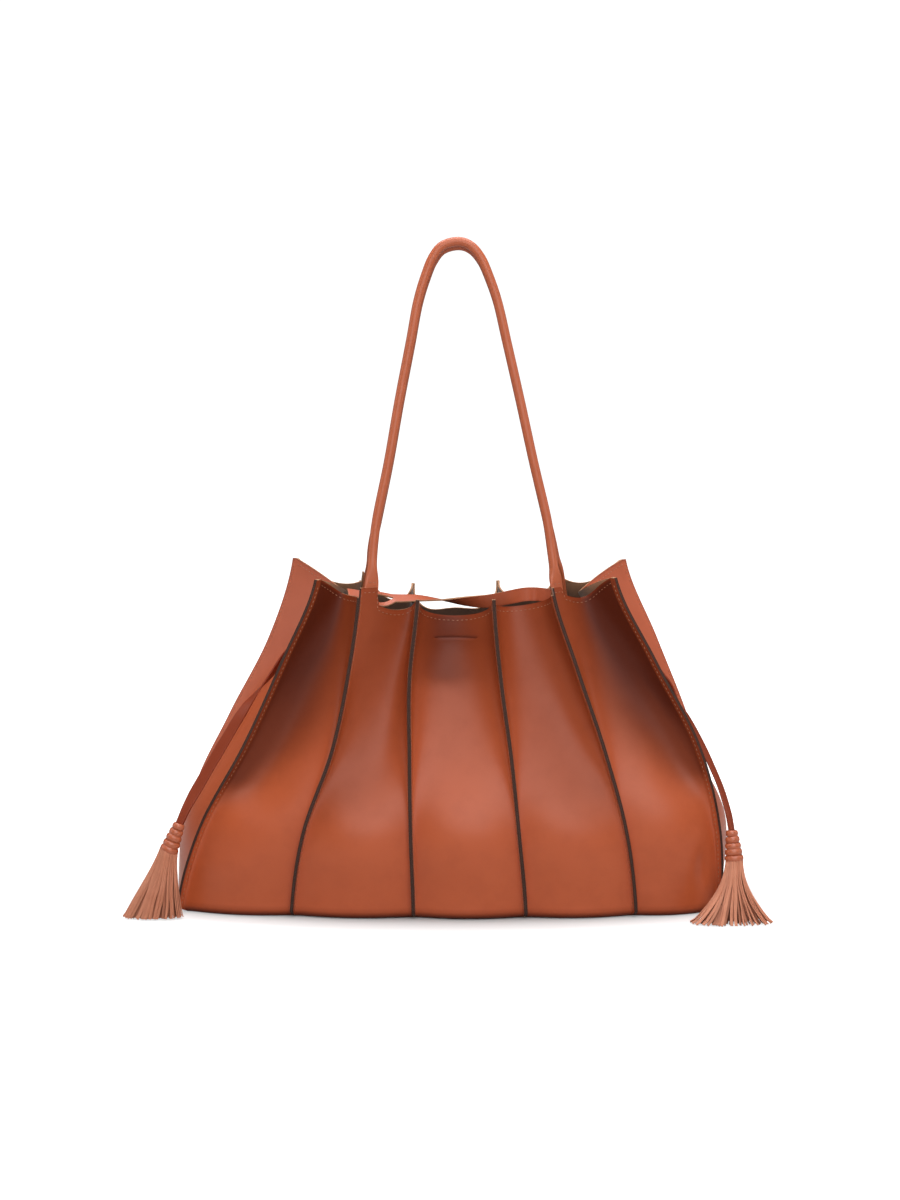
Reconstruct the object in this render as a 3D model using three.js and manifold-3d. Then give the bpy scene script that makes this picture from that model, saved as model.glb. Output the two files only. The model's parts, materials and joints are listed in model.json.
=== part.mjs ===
// Leather tote bag: gathered panels with raw-edged seams standing out, two rolled handles,
// a closing strap across the mouth, and a tie with a tassel at each front corner.
// Millimetres, +Z up, front towards -Y. The origin is the middle of the base's underside.
import * as THREE from 'three';
import { mergeVertices } from 'three/addons/utils/BufferGeometryUtils.js';
import Module from 'manifold-3d';

const wasm = await Module();
wasm.setup();

// Body
const bodyWidth = 480;       // between the bottom corner seams
const bodyDepth = 172;       // front to back at the middle of the base
const bodyHeight = 279;      // floor to the tips of the middle seams
const mouthDepth = 120;      // front seam tips to back seam tips
const leatherWall = 1.5;
const finHeight = 5;         // how far the glued, raw edges stand out at a seam
const pleatDepth = 30;       // valley of a middle panel behind its seams, at the mouth
const gussetFold = 42;       // valley of a side gusset behind its corner seams, at the mouth
const bellyDepth = 16;       // how far a panel swells out near the floor
const scallopDrop = 17;      // dip of a panel's top edge between two tips
const floorRadius = 5;       // inner radius of the turn from wall to floor
const clearance = 0.3;       // gap that touching pieces keep
const seamGap = 0.5;         // between the two glued edges of a seam
const finAtFloor = 0.2;      // share of a seam's height left where it turns under the bag
const bendMiddle = 0.75;     // a cubic curve's middle, as a share of its handles' reach
const swellPeak = 16;        // brings u squared times (1 - u) squared to 1 in the middle

// Base
const baseThickness = 2.4;
const baseInset = 0.7;       // gap between the base's edge and the turned-in walls

// Handles
const handleDiameter = 9;
const handleRise = 297;      // seat on the mouth to the middle of the roll at the apex
const tabWidth = 13;         // flat foot of a handle, stitched inside the top edge
const tabThickness = 2.2;
const tabLength = 34;
const tabClearance = 0.85;   // foot of a handle off the suede it is stitched to
const neckShare = 0.35;      // where the foot has half turned into the roll
const handleClosing = 0.9;   // power by which the two rolls come together towards the apex
const handleSteps = 34;
const handleSides = 8;

// Closing strap
const strapWidth = 12;
const strapThickness = 1.6;
const slitLength = 36;
const slitOpening = 6;
const slitMargin = 14.4;     // leather left past the slit, at the free end

// Ties and tassels
const tieWidth = 10;
const tieThickness = 1.8;
const tieGrip = 24;          // length of a tie that lies on its gusset
const wrapTop = 9.5;         // diameter of the binding where the tie comes in
const wrapBottom = 17;
const wrapLength = 27;
const wrapRings = 5;
const wrapSides = 14;
const wrapGroove = 1.5;      // depth of the groove between two rings
const lockThickness = 3;
const lockCount = 12;
const lockFill = 0.8;        // a lock's width as a share of its place in the ring
const fringeFlare = 1.5;     // power by which the fringe spreads towards the floor

const floorStart = leatherWall + floorRadius;
const up = new THREE.Vector3(0, 0, 1);
const lerp = THREE.MathUtils.lerp;
const clamp = THREE.MathUtils.clamp;
const smoothstep = THREE.MathUtils.smoothstep;
const radians = THREE.MathUtils.degToRad;

// Seams, a row each. across and out are shares of half the body's width and of half its
// depth at the floor, at a quarter, half and three quarters of the height, and at the tip.
// rise is the tip's height over bodyHeight. turn is how far the seam's edges lean towards -X
// from straight forward or straight back, in degrees, at the floor and at the tip.
const seams = {
  frontCornerLeft: { side: -1, across: [-0.996, -0.908, -0.746, -0.608, -0.483],
    out: [0.72, 0.84, 0.9, 0.93, 1], rise: 1.057, turn: [48, 40] },
  frontOuterLeft: { side: -1, across: [-0.575, -0.529, -0.425, -0.363, -0.325],
    out: [0.93, 1.05, 1.05, 1.02, 1], rise: 1.037, turn: [10, 8] },
  frontInnerLeft: { side: -1, across: [-0.133, -0.142, -0.146, -0.146, -0.117],
    out: [0.99, 1.1, 1.09, 1.02, 0.97], rise: 0.993, turn: [3, 2] },
  frontInnerRight: { side: -1, across: [0.275, 0.25, 0.221, 0.183, 0.158],
    out: [0.99, 1.1, 1.09, 1.02, 0.97], rise: 0.993, turn: [-4, -3] },
  frontOuterRight: { side: -1, across: [0.675, 0.6375, 0.558, 0.458, 0.367],
    out: [0.93, 1.05, 1.05, 1.02, 1], rise: 1.037, turn: [-12, -10] },
  frontCornerRight: { side: -1, across: [0.996, 0.98, 0.9, 0.742, 0.596],
    out: [0.72, 0.84, 0.9, 0.93, 1], rise: 1.063, turn: [-48, -42] },
  backCornerRight: { side: 1, across: [0.996, 1.004, 0.908, 0.786, 0.663],
    out: [0.72, 0.86, 0.95, 0.98, 1.03], rise: 1.068, turn: [-45, -46] },
  backOuterRight: { side: 1, across: [0.6, 0.585, 0.52, 0.45, 0.39],
    out: [0.93, 1.05, 1.05, 1.02, 1], rise: 1.035, turn: [-12, -10] },
  backInnerRight: { side: 1, across: [0.21, 0.205, 0.2, 0.19, 0.182],
    out: [0.99, 1.1, 1.09, 1.02, 0.97], rise: 1, turn: [-4, -3] },
  backInnerLeft: { side: 1, across: [-0.19, -0.18, -0.17, -0.158, -0.14],
    out: [0.99, 1.1, 1.09, 1.02, 0.97], rise: 0.991, turn: [3, 2] },
  backOuterLeft: { side: 1, across: [-0.575, -0.55, -0.46, -0.39, -0.333],
    out: [0.93, 1.05, 1.05, 1.02, 1], rise: 1.035, turn: [12, 10] },
  backCornerLeft: { side: 1, across: [-0.996, -0.985, -0.845, -0.687, -0.592],
    out: [0.72, 0.86, 0.95, 0.98, 1.03], rise: 1.072, turn: [45, 47] },
};

// Panels, a row each, in order round the bag. fold and belly are shares of the fold named by
// depth and of bellyDepth, at the seams' five heights. drop, dropFrom and dropTo are shares of
// scallopDrop in the middle and at the two seams. low is where the edge is lowest, and round
// is below 1 where the dip is flat. leave and arrive turn the leather at a seam towards the
// other seam, in degrees at the tip, which lays it flat behind a handle.
const panels = [
  { name: 'front_panel_1', from: 'frontCornerLeft', to: 'frontOuterLeft', depth: pleatDepth,
    fold: [0.33, 0.36, 0.5, 0.62, 0.72], belly: [0.9, 1, 0.4, 0.1, 0],
    drop: 0.34, dropFrom: 0, dropTo: 0.6, low: 0.5, round: 1, leave: 0, arrive: 35 },
  { name: 'front_panel_2', from: 'frontOuterLeft', to: 'frontInnerLeft', depth: pleatDepth,
    fold: [0.33, 0.36, 0.6, 0.78, 0.95], belly: [0.9, 1, 0.4, 0.1, 0],
    drop: 1.02, dropFrom: 0.1, dropTo: 0, low: 0.62, round: 1, leave: 62, arrive: 0 },
  { name: 'front_panel_3', from: 'frontInnerLeft', to: 'frontInnerRight', depth: pleatDepth,
    fold: [0.33, 0.36, 0.6, 0.8, 0.9], belly: [0.9, 1, 0.4, 0.1, 0],
    drop: 1.04, dropFrom: 0, dropTo: 0, low: 0.5, round: 0.65, leave: 0, arrive: 0 },
  { name: 'front_panel_4', from: 'frontInnerRight', to: 'frontOuterRight', depth: pleatDepth,
    fold: [0.33, 0.36, 0.55, 0.7, 0.78], belly: [0.9, 1, 0.4, 0.1, 0],
    drop: 0.62, dropFrom: 0, dropTo: 0.48, low: 0.4, round: 0.8, leave: 0, arrive: 0 },
  { name: 'front_panel_5', from: 'frontOuterRight', to: 'frontCornerRight', depth: pleatDepth,
    fold: [0.33, 0.36, 0.55, 0.7, 0.9], belly: [0.9, 1, 0.4, 0.1, 0],
    drop: 0.85, dropFrom: 0.1, dropTo: 0, low: 0.42, round: 1, leave: 58, arrive: 0 },
  { name: 'side_gusset_right', from: 'frontCornerRight', to: 'backCornerRight',
    depth: gussetFold, fold: [0.24, 0.3, 0.62, 1.1, 1.45], belly: [0.9, 1.2, 0.4, 0, 0],
    drop: 1.24, dropFrom: 0, dropTo: 0, low: 0.5, round: 1, leave: 0, arrive: 0 },
  { name: 'back_panel_5', from: 'backCornerRight', to: 'backOuterRight', depth: pleatDepth,
    fold: [0.33, 0.36, 0.5, 0.6, 0.7], belly: [0.9, 1, 0.4, 0.1, 0],
    drop: 0.75, dropFrom: 0, dropTo: 0.1, low: 0.58, round: 1, leave: 0, arrive: 55 },
  { name: 'back_panel_4', from: 'backOuterRight', to: 'backInnerRight', depth: pleatDepth,
    fold: [0.33, 0.36, 0.55, 0.7, 0.85], belly: [0.9, 1, 0.4, 0.1, 0],
    drop: 0.75, dropFrom: 0.48, dropTo: 0, low: 0.5, round: 0.8, leave: 0, arrive: 0 },
  { name: 'back_panel_3', from: 'backInnerRight', to: 'backInnerLeft', depth: pleatDepth,
    fold: [0.33, 0.36, 0.6, 0.8, 0.92], belly: [0.9, 1, 0.4, 0.1, 0],
    drop: 1.08, dropFrom: 0, dropTo: 0, low: 0.5, round: 0.65, leave: 0, arrive: 0 },
  { name: 'back_panel_2', from: 'backInnerLeft', to: 'backOuterLeft', depth: pleatDepth,
    fold: [0.33, 0.36, 0.55, 0.7, 0.8], belly: [0.9, 1, 0.4, 0.1, 0],
    drop: 0.95, dropFrom: 0, dropTo: 0.1, low: 0.45, round: 1, leave: 0, arrive: 60 },
  { name: 'back_panel_1', from: 'backOuterLeft', to: 'backCornerLeft', depth: pleatDepth,
    fold: [0.33, 0.36, 0.5, 0.6, 0.7], belly: [0.9, 1.1, 0.5, 0.1, 0],
    drop: 0.5, dropFrom: 0.6, dropTo: 0, low: 0.5, round: 1, leave: 30, arrive: 0 },
  { name: 'side_gusset_left', from: 'backCornerLeft', to: 'frontCornerLeft',
    depth: gussetFold, fold: [0.24, 0.3, 0.62, 1.1, 1.4], belly: [0.9, 1.2, 0.4, 0, 0],
    drop: 1.24, dropFrom: 0, dropTo: 0, low: 0.5, round: 1, leave: 0, arrive: 0 },
];

// Handle curve between its feet: height over handleRise, and reach from the middle between
// the feet to each side over half the distance between the feet.
const handleRows = [
  { height: 0.1, left: 0.98, right: 0.945 },
  { height: 0.19, left: 0.93, right: 0.885 },
  { height: 0.36, left: 0.804, right: 0.74 },
  { height: 0.54, left: 0.689, right: 0.596 },
  { height: 0.715, left: 0.566, right: 0.45 },
  { height: 0.83, left: 0.488, right: 0.352 },
  { height: 0.9, left: 0.412, right: 0.265 },
  { height: 0.955, left: 0.33, right: 0.175 },
  { height: 0.988, left: 0.23, right: 0.07 },
];
const handleApexShift = -0.05;   // of half the distance between the feet
const handleFeet = [
  { name: 'handle_front', feet: [['front_panel_2', 0.1], ['front_panel_5', 0.082]], side: -1,
    extraRise: 0 },
  { name: 'handle_back', feet: [['back_panel_2', 0.9], ['back_panel_5', 0.9]], side: 1,
    extraRise: 3 },
];

// Closing strap past its seat on front_panel_4: shares of half the body's width, of half the
// mouth's depth and of bodyHeight, and the lean of its face from upright, in degrees. Its seat
// rows hold shares across the panel, and the distance off its suede side in clearances.
const strapSeat = [
  { u: 0.88, gaps: 2 },
  { u: 0.81, gaps: 2 },
  { u: 0.74, gaps: 2.5 },
  { u: 0.66, gaps: 3 },
  { u: 0.56, gaps: 5 },
];
const strapRows = [
  { across: 0.135, out: -0.33, height: 0.977, lean: 8 },
  { across: 0.06, out: -0.2, height: 0.968, lean: 22 },
  { across: -0.02, out: -0.14, height: 0.966, lean: 50 },
  { across: -0.1, out: -0.2, height: 0.968, lean: 62 },
  { across: -0.2, out: -0.32, height: 0.978, lean: 60 },
  { across: -0.29, out: -0.5, height: 1.0, lean: 56 },
  { across: -0.375, out: -0.58, height: 1.018, lean: 52 },
];

// Ties below their grip: shares of half the body's width, half its depth and bodyHeight.
const ties = [
  { name: 'tie_left', panel: 'side_gusset_left', seat: 0.9, grip: 0.93, lean: -20,
    drop: [[-0.59, -0.48, 0.82], [-0.633, -0.51, 0.77], [-0.69, -0.55, 0.71],
      [-0.755, -0.607, 0.636], [-0.825, -0.674, 0.538], [-0.934, -0.78, 0.378]],
    wrapAt: [-0.98, -0.84, 0.297], fringeAt: [-1.078, -0.93], spread: [27, 10],
    wrapFoot: [-1.025, -0.86, 0.2] },
  { name: 'tie_right', panel: 'side_gusset_right', seat: 0.1, grip: 0.8, lean: 60,
    drop: [[0.83, -0.57, 0.67], [0.89, -0.56, 0.58], [0.934, -0.58, 0.5],
      [0.973, -0.67, 0.43], [0.998, -0.76, 0.36]],
    wrapAt: [1.02, -0.86, 0.277], fringeAt: [1.012, -1.15], spread: [37, 13],
    wrapFoot: [1.03, -0.91, 0.18] },
];

// Value of a row's list at a height share, on a smooth curve through its five levels.
function atLevel(shares, t) {
  const points = shares.map((share, k) => new THREE.Vector2(k, share));
  return new THREE.SplineCurve(points).getPoint(t).y;
}

// Share of the way from the start of the floor turn up to a tip, at a height.
function shareUp(height, tip) {
  return clamp((height - floorStart) / (tip - floorStart), 0, 1);
}

// Seam at a height: plan position and outward direction of its edges.
function seamAt(name, height) {
  const row = seams[name];
  const t = shareUp(height, row.rise * bodyHeight);
  const halfDepth = lerp(bodyDepth, mouthDepth, t) / 2;
  const turn = radians(lerp(row.turn[0], row.turn[1], t));
  return {
    place: new THREE.Vector2(atLevel(row.across, t) * bodyWidth / 2,
      row.side * atLevel(row.out, t) * halfDepth),
    outward: new THREE.Vector2(-Math.sin(turn), row.side * Math.cos(turn)),
  };
}

// Height of a panel's top edge at share u of its width.
function edgeHeight(panel, u) {
  const share = clamp(u, 0, 1);
  const from = seams[panel.from].rise * bodyHeight - panel.dropFrom * scallopDrop;
  const to = seams[panel.to].rise * bodyHeight - panel.dropTo * scallopDrop;
  const skew = Math.log(0.5) / Math.log(panel.low);
  const dip = Math.pow(Math.sin(Math.PI * Math.pow(share, skew)), panel.round);
  return lerp(from, to, share) - panel.drop * scallopDrop * dip;
}

// Point on a panel's suede side. u runs 0 to 1 between the seams, and up to 1 beyond them
// along the standing edges. t runs 0 to 1 up the wall, and down to -1 round the floor turn.
function suedePoint(panel, u, t) {
  const turnIn = Math.max(-t, 0) * Math.PI / 2;
  const height = lerp(floorStart, edgeHeight(panel, u), Math.max(t, 0));
  const level = shareUp(height, lerp(seams[panel.from].rise, seams[panel.to].rise,
    clamp(u, 0, 1)) * bodyHeight);
  const from = seamAt(panel.from, height);
  const to = seamAt(panel.to, height);
  const sideFrom = new THREE.Vector2(-from.outward.y, from.outward.x);
  const sideTo = new THREE.Vector2(-to.outward.y, to.outward.x);
  const start = from.place.clone().addScaledVector(sideFrom, seamGap / 2)
    .addScaledVector(from.outward, -finHeight);
  const end = to.place.clone().addScaledVector(sideTo, -seamGap / 2)
    .addScaledVector(to.outward, -finHeight);
  const reach = atLevel(panel.fold, level) * panel.depth / bendMiddle;
  const flatten = smoothstep(level, 0.45, 1);
  const leave = from.outward.clone().negate()
    .rotateAround(new THREE.Vector2(), -radians(panel.leave * flatten));
  const arrive = to.outward.clone().negate()
    .rotateAround(new THREE.Vector2(), radians(panel.arrive * flatten));
  const share = clamp(u, 0, 1);
  const outward = from.outward.clone().lerp(to.outward, share).normalize();
  const bend = new THREE.CubicBezierCurve(start, start.clone().addScaledVector(leave, reach),
    end.clone().addScaledVector(arrive, reach), end);
  const place = bend.getPoint(share);
  const swell = swellPeak * Math.pow(share * (1 - share), 2);
  place.addScaledVector(outward, atLevel(panel.belly, level) * bellyDepth * swell);
  const stand = finHeight * lerp(1, finAtFloor, Math.sin(turnIn));
  place.addScaledVector(from.outward, Math.max(-u, 0) * stand);
  place.addScaledVector(to.outward, Math.max(u - 1, 0) * stand);
  place.addScaledVector(outward, -floorRadius * (1 - Math.cos(turnIn)));
  return new THREE.Vector3(place.x, place.y, height - floorRadius * Math.sin(turnIn));
}

// Direction out of a panel's suede side towards its outer side.
function outwardAt(panel, u, t) {
  const step = 0.01;
  const here = suedePoint(panel, u, t);
  const before = here.clone().sub(suedePoint(panel, Math.max(u - step, -1), t)).normalize();
  const after = suedePoint(panel, Math.min(u + step, 2), t).sub(here).normalize();
  const rising = suedePoint(panel, u, Math.min(t + step, 1))
    .sub(suedePoint(panel, u, Math.max(t - step, -1)));
  return before.add(after).cross(rising).normalize();
}

function panelPoint(panel, u, t, offset) {
  return suedePoint(panel, u, t).addScaledVector(outwardAt(panel, u, t), offset);
}

// Closed body from a grid of rows of points and a second grid behind it.
function wallBody(front, back) {
  const rows = front.length;
  const columns = front[0].length;
  const positions = [...front.flat(), ...back.flat()];
  const faces = [];
  const at = (layer, r, c) => layer * rows * columns + r * columns + c;
  const quad = (a, b, c, d) => faces.push(a, b, c, a, c, d);
  for (let r = 0; r < rows - 1; r += 1) {
    for (let c = 0; c < columns - 1; c += 1) {
      quad(at(0, r, c), at(0, r, c + 1), at(0, r + 1, c + 1), at(0, r + 1, c));
      quad(at(1, r, c), at(1, r + 1, c), at(1, r + 1, c + 1), at(1, r, c + 1));
    }
    quad(at(0, r, 0), at(0, r + 1, 0), at(1, r + 1, 0), at(1, r, 0));
    quad(at(0, r, columns - 1), at(1, r, columns - 1), at(1, r + 1, columns - 1),
      at(0, r + 1, columns - 1));
  }
  for (let c = 0; c < columns - 1; c += 1) {
    quad(at(0, 0, c), at(1, 0, c), at(1, 0, c + 1), at(0, 0, c + 1));
    quad(at(0, rows - 1, c), at(0, rows - 1, c + 1), at(1, rows - 1, c + 1), at(1, rows - 1, c));
  }
  return bodyOf(positions, faces);
}

// Closed body through rings of points, capped at both ends.
function loftBody(rings) {
  const sides = rings[0].length;
  const positions = rings.flat();
  const faces = [];
  for (let r = 0; r < rings.length - 1; r += 1) {
    for (let k = 0; k < sides; k += 1) {
      const next = (k + 1) % sides;
      const a = r * sides + k;
      const b = r * sides + next;
      faces.push(a, b, b + sides, a, b + sides, a + sides);
    }
  }
  const last = (rings.length - 1) * sides;
  for (let k = 1; k < sides - 1; k += 1) {
    faces.push(0, k + 1, k, last, last + k, last + k + 1);
  }
  return bodyOf(positions, faces);
}

// Indexed geometry, turned so that its faces point out.
function bodyOf(positions, faces) {
  let volume = 0;
  for (let k = 0; k < faces.length; k += 3) {
    const [a, b, c] = [0, 1, 2].map((n) => positions[faces[k + n]]);
    volume += a.clone().cross(b).dot(c);
  }
  const geometry = new THREE.BufferGeometry().setFromPoints(positions);
  geometry.setIndex(volume < 0 ? [...faces].reverse() : faces);
  return geometry;
}

function toSolid(geometry) {
  const bare = geometry.clone();
  bare.deleteAttribute('normal');
  bare.deleteAttribute('uv');
  const merged = mergeVertices(bare, 1e-4);
  return new wasm.Manifold(new wasm.Mesh({
    numProp: 3,
    vertProperties: new Float32Array(merged.attributes.position.array),
    triVerts: new Uint32Array(merged.index.array),
  }));
}

function fromSolid(solid) {
  const mesh = solid.getMesh();
  const geometry = new THREE.BufferGeometry();
  geometry.setAttribute('position', new THREE.BufferAttribute(mesh.vertProperties, 3));
  geometry.setIndex(new THREE.BufferAttribute(mesh.triVerts, 1));
  return geometry;
}

// Shares across a panel: the standing edges, and closer steps where the leather bends.
const panelSteps = 9;
const wallSteps = 8;
const turnSteps = 2;
const across = [-1];
for (let k = 0; k <= panelSteps; k += 1) {
  across.push(0.5 - 0.5 * Math.cos(Math.PI * k / panelSteps));
}
across.push(2);
const heights = [];
for (let k = turnSteps; k > 0; k -= 1) {
  heights.push(-k / turnSteps);
}
for (let k = 0; k <= wallSteps; k += 1) {
  heights.push(k / wallSteps);
}

function panelBody(panel) {
  const outer = heights.map((t) => across.map((u) => panelPoint(panel, u, t, leatherWall)));
  const suede = heights.map((t) => across.map((u) => suedePoint(panel, u, t)));
  return wallBody(outer, suede);
}

// Flat base inside the turned-in walls, its outline a step inside theirs.
function basePanel() {
  const outline = [];
  for (const panel of panels) {
    for (const u of across.filter((share) => share > 0.1 && share < 0.9)) {
      const out = outwardAt(panel, u, 0).setZ(0).normalize();
      outline.push(suedePoint(panel, u, -1).addScaledVector(out, -baseInset));
    }
  }
  const shape = new THREE.Shape(outline.map((point) => new THREE.Vector2(point.x, point.y)));
  return new THREE.ExtrudeGeometry(shape, { depth: baseThickness, bevelEnabled: false });
}

// Oval ring round a point, with its width along one direction and its height along another.
function ovalRing(middle, wide, high, width, height, sides) {
  const ring = [];
  for (let k = 0; k < sides; k += 1) {
    const angle = 2 * Math.PI * (k + 0.5) / sides;
    ring.push(middle.clone().addScaledVector(wide, Math.cos(angle) * width / 2)
      .addScaledVector(high, Math.sin(angle) * height / 2));
  }
  return ring;
}

// Seat of a handle's foot on a panel: share across, direction across and outward.
function footAt(panel, u, t) {
  const step = 0.02;
  const wide = suedePoint(panel, u + step, t).sub(suedePoint(panel, u - step, t)).normalize();
  const out = outwardAt(panel, u, t);
  const inside = panelPoint(panel, u, t, -(tabClearance + tabThickness / 2));
  return { middle: inside, wide, out };
}

function handleBody(row) {
  const [near, far] = row.feet.map(([name, u]) => {
    const panel = panels.find((entry) => entry.name === name);
    const t = 1 - tabLength / bodyHeight;
    return { top: footAt(panel, u, 1), mid: footAt(panel, u, (1 + t) / 2),
      low: footAt(panel, u, t) };
  });
  const footLine = near.top.middle.clone().lerp(far.top.middle, 0.5);
  const halfSpread = Math.abs(far.top.middle.x - near.top.middle.x) / 2;
  const apexDepth = row.side * (handleDiameter + clearance) / 2;
  const points = [];
  const place = (height, reach) => new THREE.Vector3(footLine.x + reach * halfSpread,
    lerp(footLine.y, apexDepth, Math.pow(height, handleClosing)),
    footLine.z + height * (handleRise + row.extraRise));
  for (const entry of handleRows) {
    points.push(place(entry.height, -entry.left));
  }
  points.push(place(1, handleApexShift));
  for (const entry of [...handleRows].reverse()) {
    points.push(place(entry.height, entry.right));
  }
  const curve = new THREE.CatmullRomCurve3(points);
  const rings = [];
  const flatRing = (foot, flip) => ovalRing(foot.middle,
    foot.wide.clone().multiplyScalar(flip), foot.out, tabWidth, tabThickness, handleSides);
  const neck = (foot, target, share, flip) => {
    const middle = foot.top.middle.clone().lerp(target, share);
    const wide = foot.top.wide.clone().lerp(new THREE.Vector3(-row.side, 0, 0)
      .multiplyScalar(flip), share).multiplyScalar(flip).normalize();
    const out = new THREE.Vector3(0, row.side, 0).lerp(foot.top.out, 1 - share).normalize();
    return ovalRing(middle, wide, out, lerp(tabWidth, handleDiameter, share),
      lerp(tabThickness, handleDiameter, share), handleSides);
  };
  rings.push(flatRing(near.low, 1), flatRing(near.mid, 1), flatRing(near.top, 1));
  rings.push(neck(near, points[0], neckShare, 1));
  for (let k = 0; k <= handleSteps; k += 1) {
    const along = curve.getTangentAt(k / handleSteps);
    const out = new THREE.Vector3(0, row.side, 0);
    out.addScaledVector(along, -out.dot(along)).normalize();
    const wide = along.clone().cross(out).normalize();
    rings.push(ovalRing(curve.getPointAt(k / handleSteps), wide, out, handleDiameter,
      handleDiameter, handleSides));
  }
  rings.push(neck(far, points[points.length - 1], neckShare, -1));
  rings.push(flatRing(far.top, -1), flatRing(far.mid, -1), flatRing(far.low, -1));
  return loftBody(rings);
}

// Ribbon along part of a curve, between two edges that are functions of the distance along it.
function ribbonBody(path, span, steps, edges, thickness) {
  const grid = (side) => {
    const rows = [];
    for (let k = 0; k <= steps; k += 1) {
      const along = lerp(span[0], span[1], k / steps);
      const frame = ribbonFrame(path.curve, along / path.length, path.leans);
      rows.push(edges(along).map((offset) => frame.middle.clone()
        .addScaledVector(frame.wide, offset)
        .addScaledVector(frame.face, side * thickness / 2)));
    }
    return rows;
  };
  return wallBody(grid(1), grid(-1));
}

// Strap across the mouth, its slit cut through near the free end.
function strapBody() {
  const panel = panels.find((entry) => entry.name === 'front_panel_4');
  const stations = strapSeat.map((seat) => {
    const foot = bodyHeight - strapWidth / 2;
    const t = (foot - floorStart) / (edgeHeight(panel, seat.u) - floorStart);
    const lift = -(seat.gaps * clearance + strapThickness / 2);
    return { middle: panelPoint(panel, seat.u, t, lift).setZ(bodyHeight), lean: 0 };
  });
  for (const row of strapRows) {
    stations.push({ lean: row.lean, middle: new THREE.Vector3(row.across * bodyWidth / 2,
      row.out * mouthDepth / 2, row.height * bodyHeight) });
  }
  const curve = new THREE.CatmullRomCurve3(stations.map((station) => station.middle));
  const path = { curve, length: curve.getLength(), leans: stations.map((row) => row.lean) };
  const half = strapWidth / 2;
  const slitEnd = path.length - slitMargin;
  const slitStart = slitEnd - slitLength;
  const gape = (along) => slitOpening / 2
    * Math.sin(Math.PI * clamp((along - slitStart) / slitLength, 0, 1));
  const strap = ribbonBody(path, [0, path.length], 30,
    (along) => [-half - gape(along), half + gape(along) / 2], strapThickness);
  const slit = ribbonBody(path, [slitStart, slitEnd], 10,
    (along) => [-0.3 - 1.4 * gape(along), 0.3 + 0.6 * gape(along)], 3 * strapThickness);
  return fromSolid(toSolid(strap).subtract(toSolid(slit)));
}

function ribbonFrame(curve, share, leans) {
  const along = curve.getTangentAt(share);
  const lean = radians(atLevel(leans, curve.getUtoTmapping(share)));
  const wide = up.clone().addScaledVector(along, -along.z).normalize()
    .applyAxisAngle(along, lean);
  return { middle: curve.getPointAt(share), wide, face: along.clone().cross(wide) };
}

function sharesToPoint([x, y, z]) {
  return new THREE.Vector3(x * bodyWidth / 2, y * bodyDepth / 2, z * bodyHeight);
}

// Rectangular ring of a tie.
function tieRing(middle, wide, out) {
  return [[-1, -1], [1, -1], [1, 1], [-1, 1]].map(([a, b]) => middle.clone()
    .addScaledVector(wide, a * tieWidth / 2).addScaledVector(out, b * tieThickness / 2));
}

function tieBody(row) {
  const panel = panels.find((entry) => entry.name === row.panel);
  const rings = [];
  const gripTop = row.grip;
  const gripFoot = row.grip - tieGrip / bodyHeight;
  for (const t of [gripTop, gripFoot]) {
    const out = outwardAt(panel, row.seat, t);
    const step = 0.02;
    const wide = suedePoint(panel, row.seat + step, t)
      .sub(suedePoint(panel, row.seat - step, t)).normalize();
    const lift = leatherWall + 2 * clearance + tieThickness / 2;
    rings.push(tieRing(panelPoint(panel, row.seat, t, lift), wide, out));
  }
  const points = row.drop.map(sharesToPoint);
  const wrapStart = sharesToPoint(row.wrapAt);
  const axis = sharesToPoint(row.wrapFoot).sub(wrapStart).normalize();
  points.push(wrapStart.clone().addScaledVector(axis, -tieWidth));
  points.push(wrapStart.clone().addScaledVector(axis, -clearance));
  const curve = new THREE.CatmullRomCurve3(points);
  const startWide = rings[1][1].clone().sub(rings[1][0]).normalize();
  const steps = 8;
  for (let k = 0; k <= steps; k += 1) {
    const along = curve.getTangentAt(k / steps);
    const hang = new THREE.Vector3(Math.cos(radians(row.lean)), Math.sin(radians(row.lean)), 0);
    const wide = startWide.clone().lerp(hang, smoothstep(k / steps, 0, 0.5));
    wide.addScaledVector(along, -wide.dot(along)).normalize();
    const out = wide.clone().cross(along).normalize();
    rings.push(tieRing(curve.getPointAt(k / steps), wide, out));
  }
  return loftBody(rings.reverse());
}

// Binding of rounded turns round the head of a tassel.
function wrapBody() {
  const profile = [new THREE.Vector2(0, 0)];
  for (let k = 0; k < wrapRings; k += 1) {
    for (const share of [0.02, 0.25, 0.5, 0.75, 0.98]) {
      const along = (k + share) / wrapRings;
      const round = Math.sqrt(1 - Math.pow(2 * share - 1, 2));
      const radius = lerp(wrapTop, wrapBottom, Math.pow(along, 0.75)) / 2;
      profile.push(new THREE.Vector2(radius - (1 - round) * wrapGroove, along * wrapLength));
    }
  }
  profile.push(new THREE.Vector2(0, wrapLength));
  return new THREE.LatheGeometry(profile, wrapSides);
}

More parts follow.
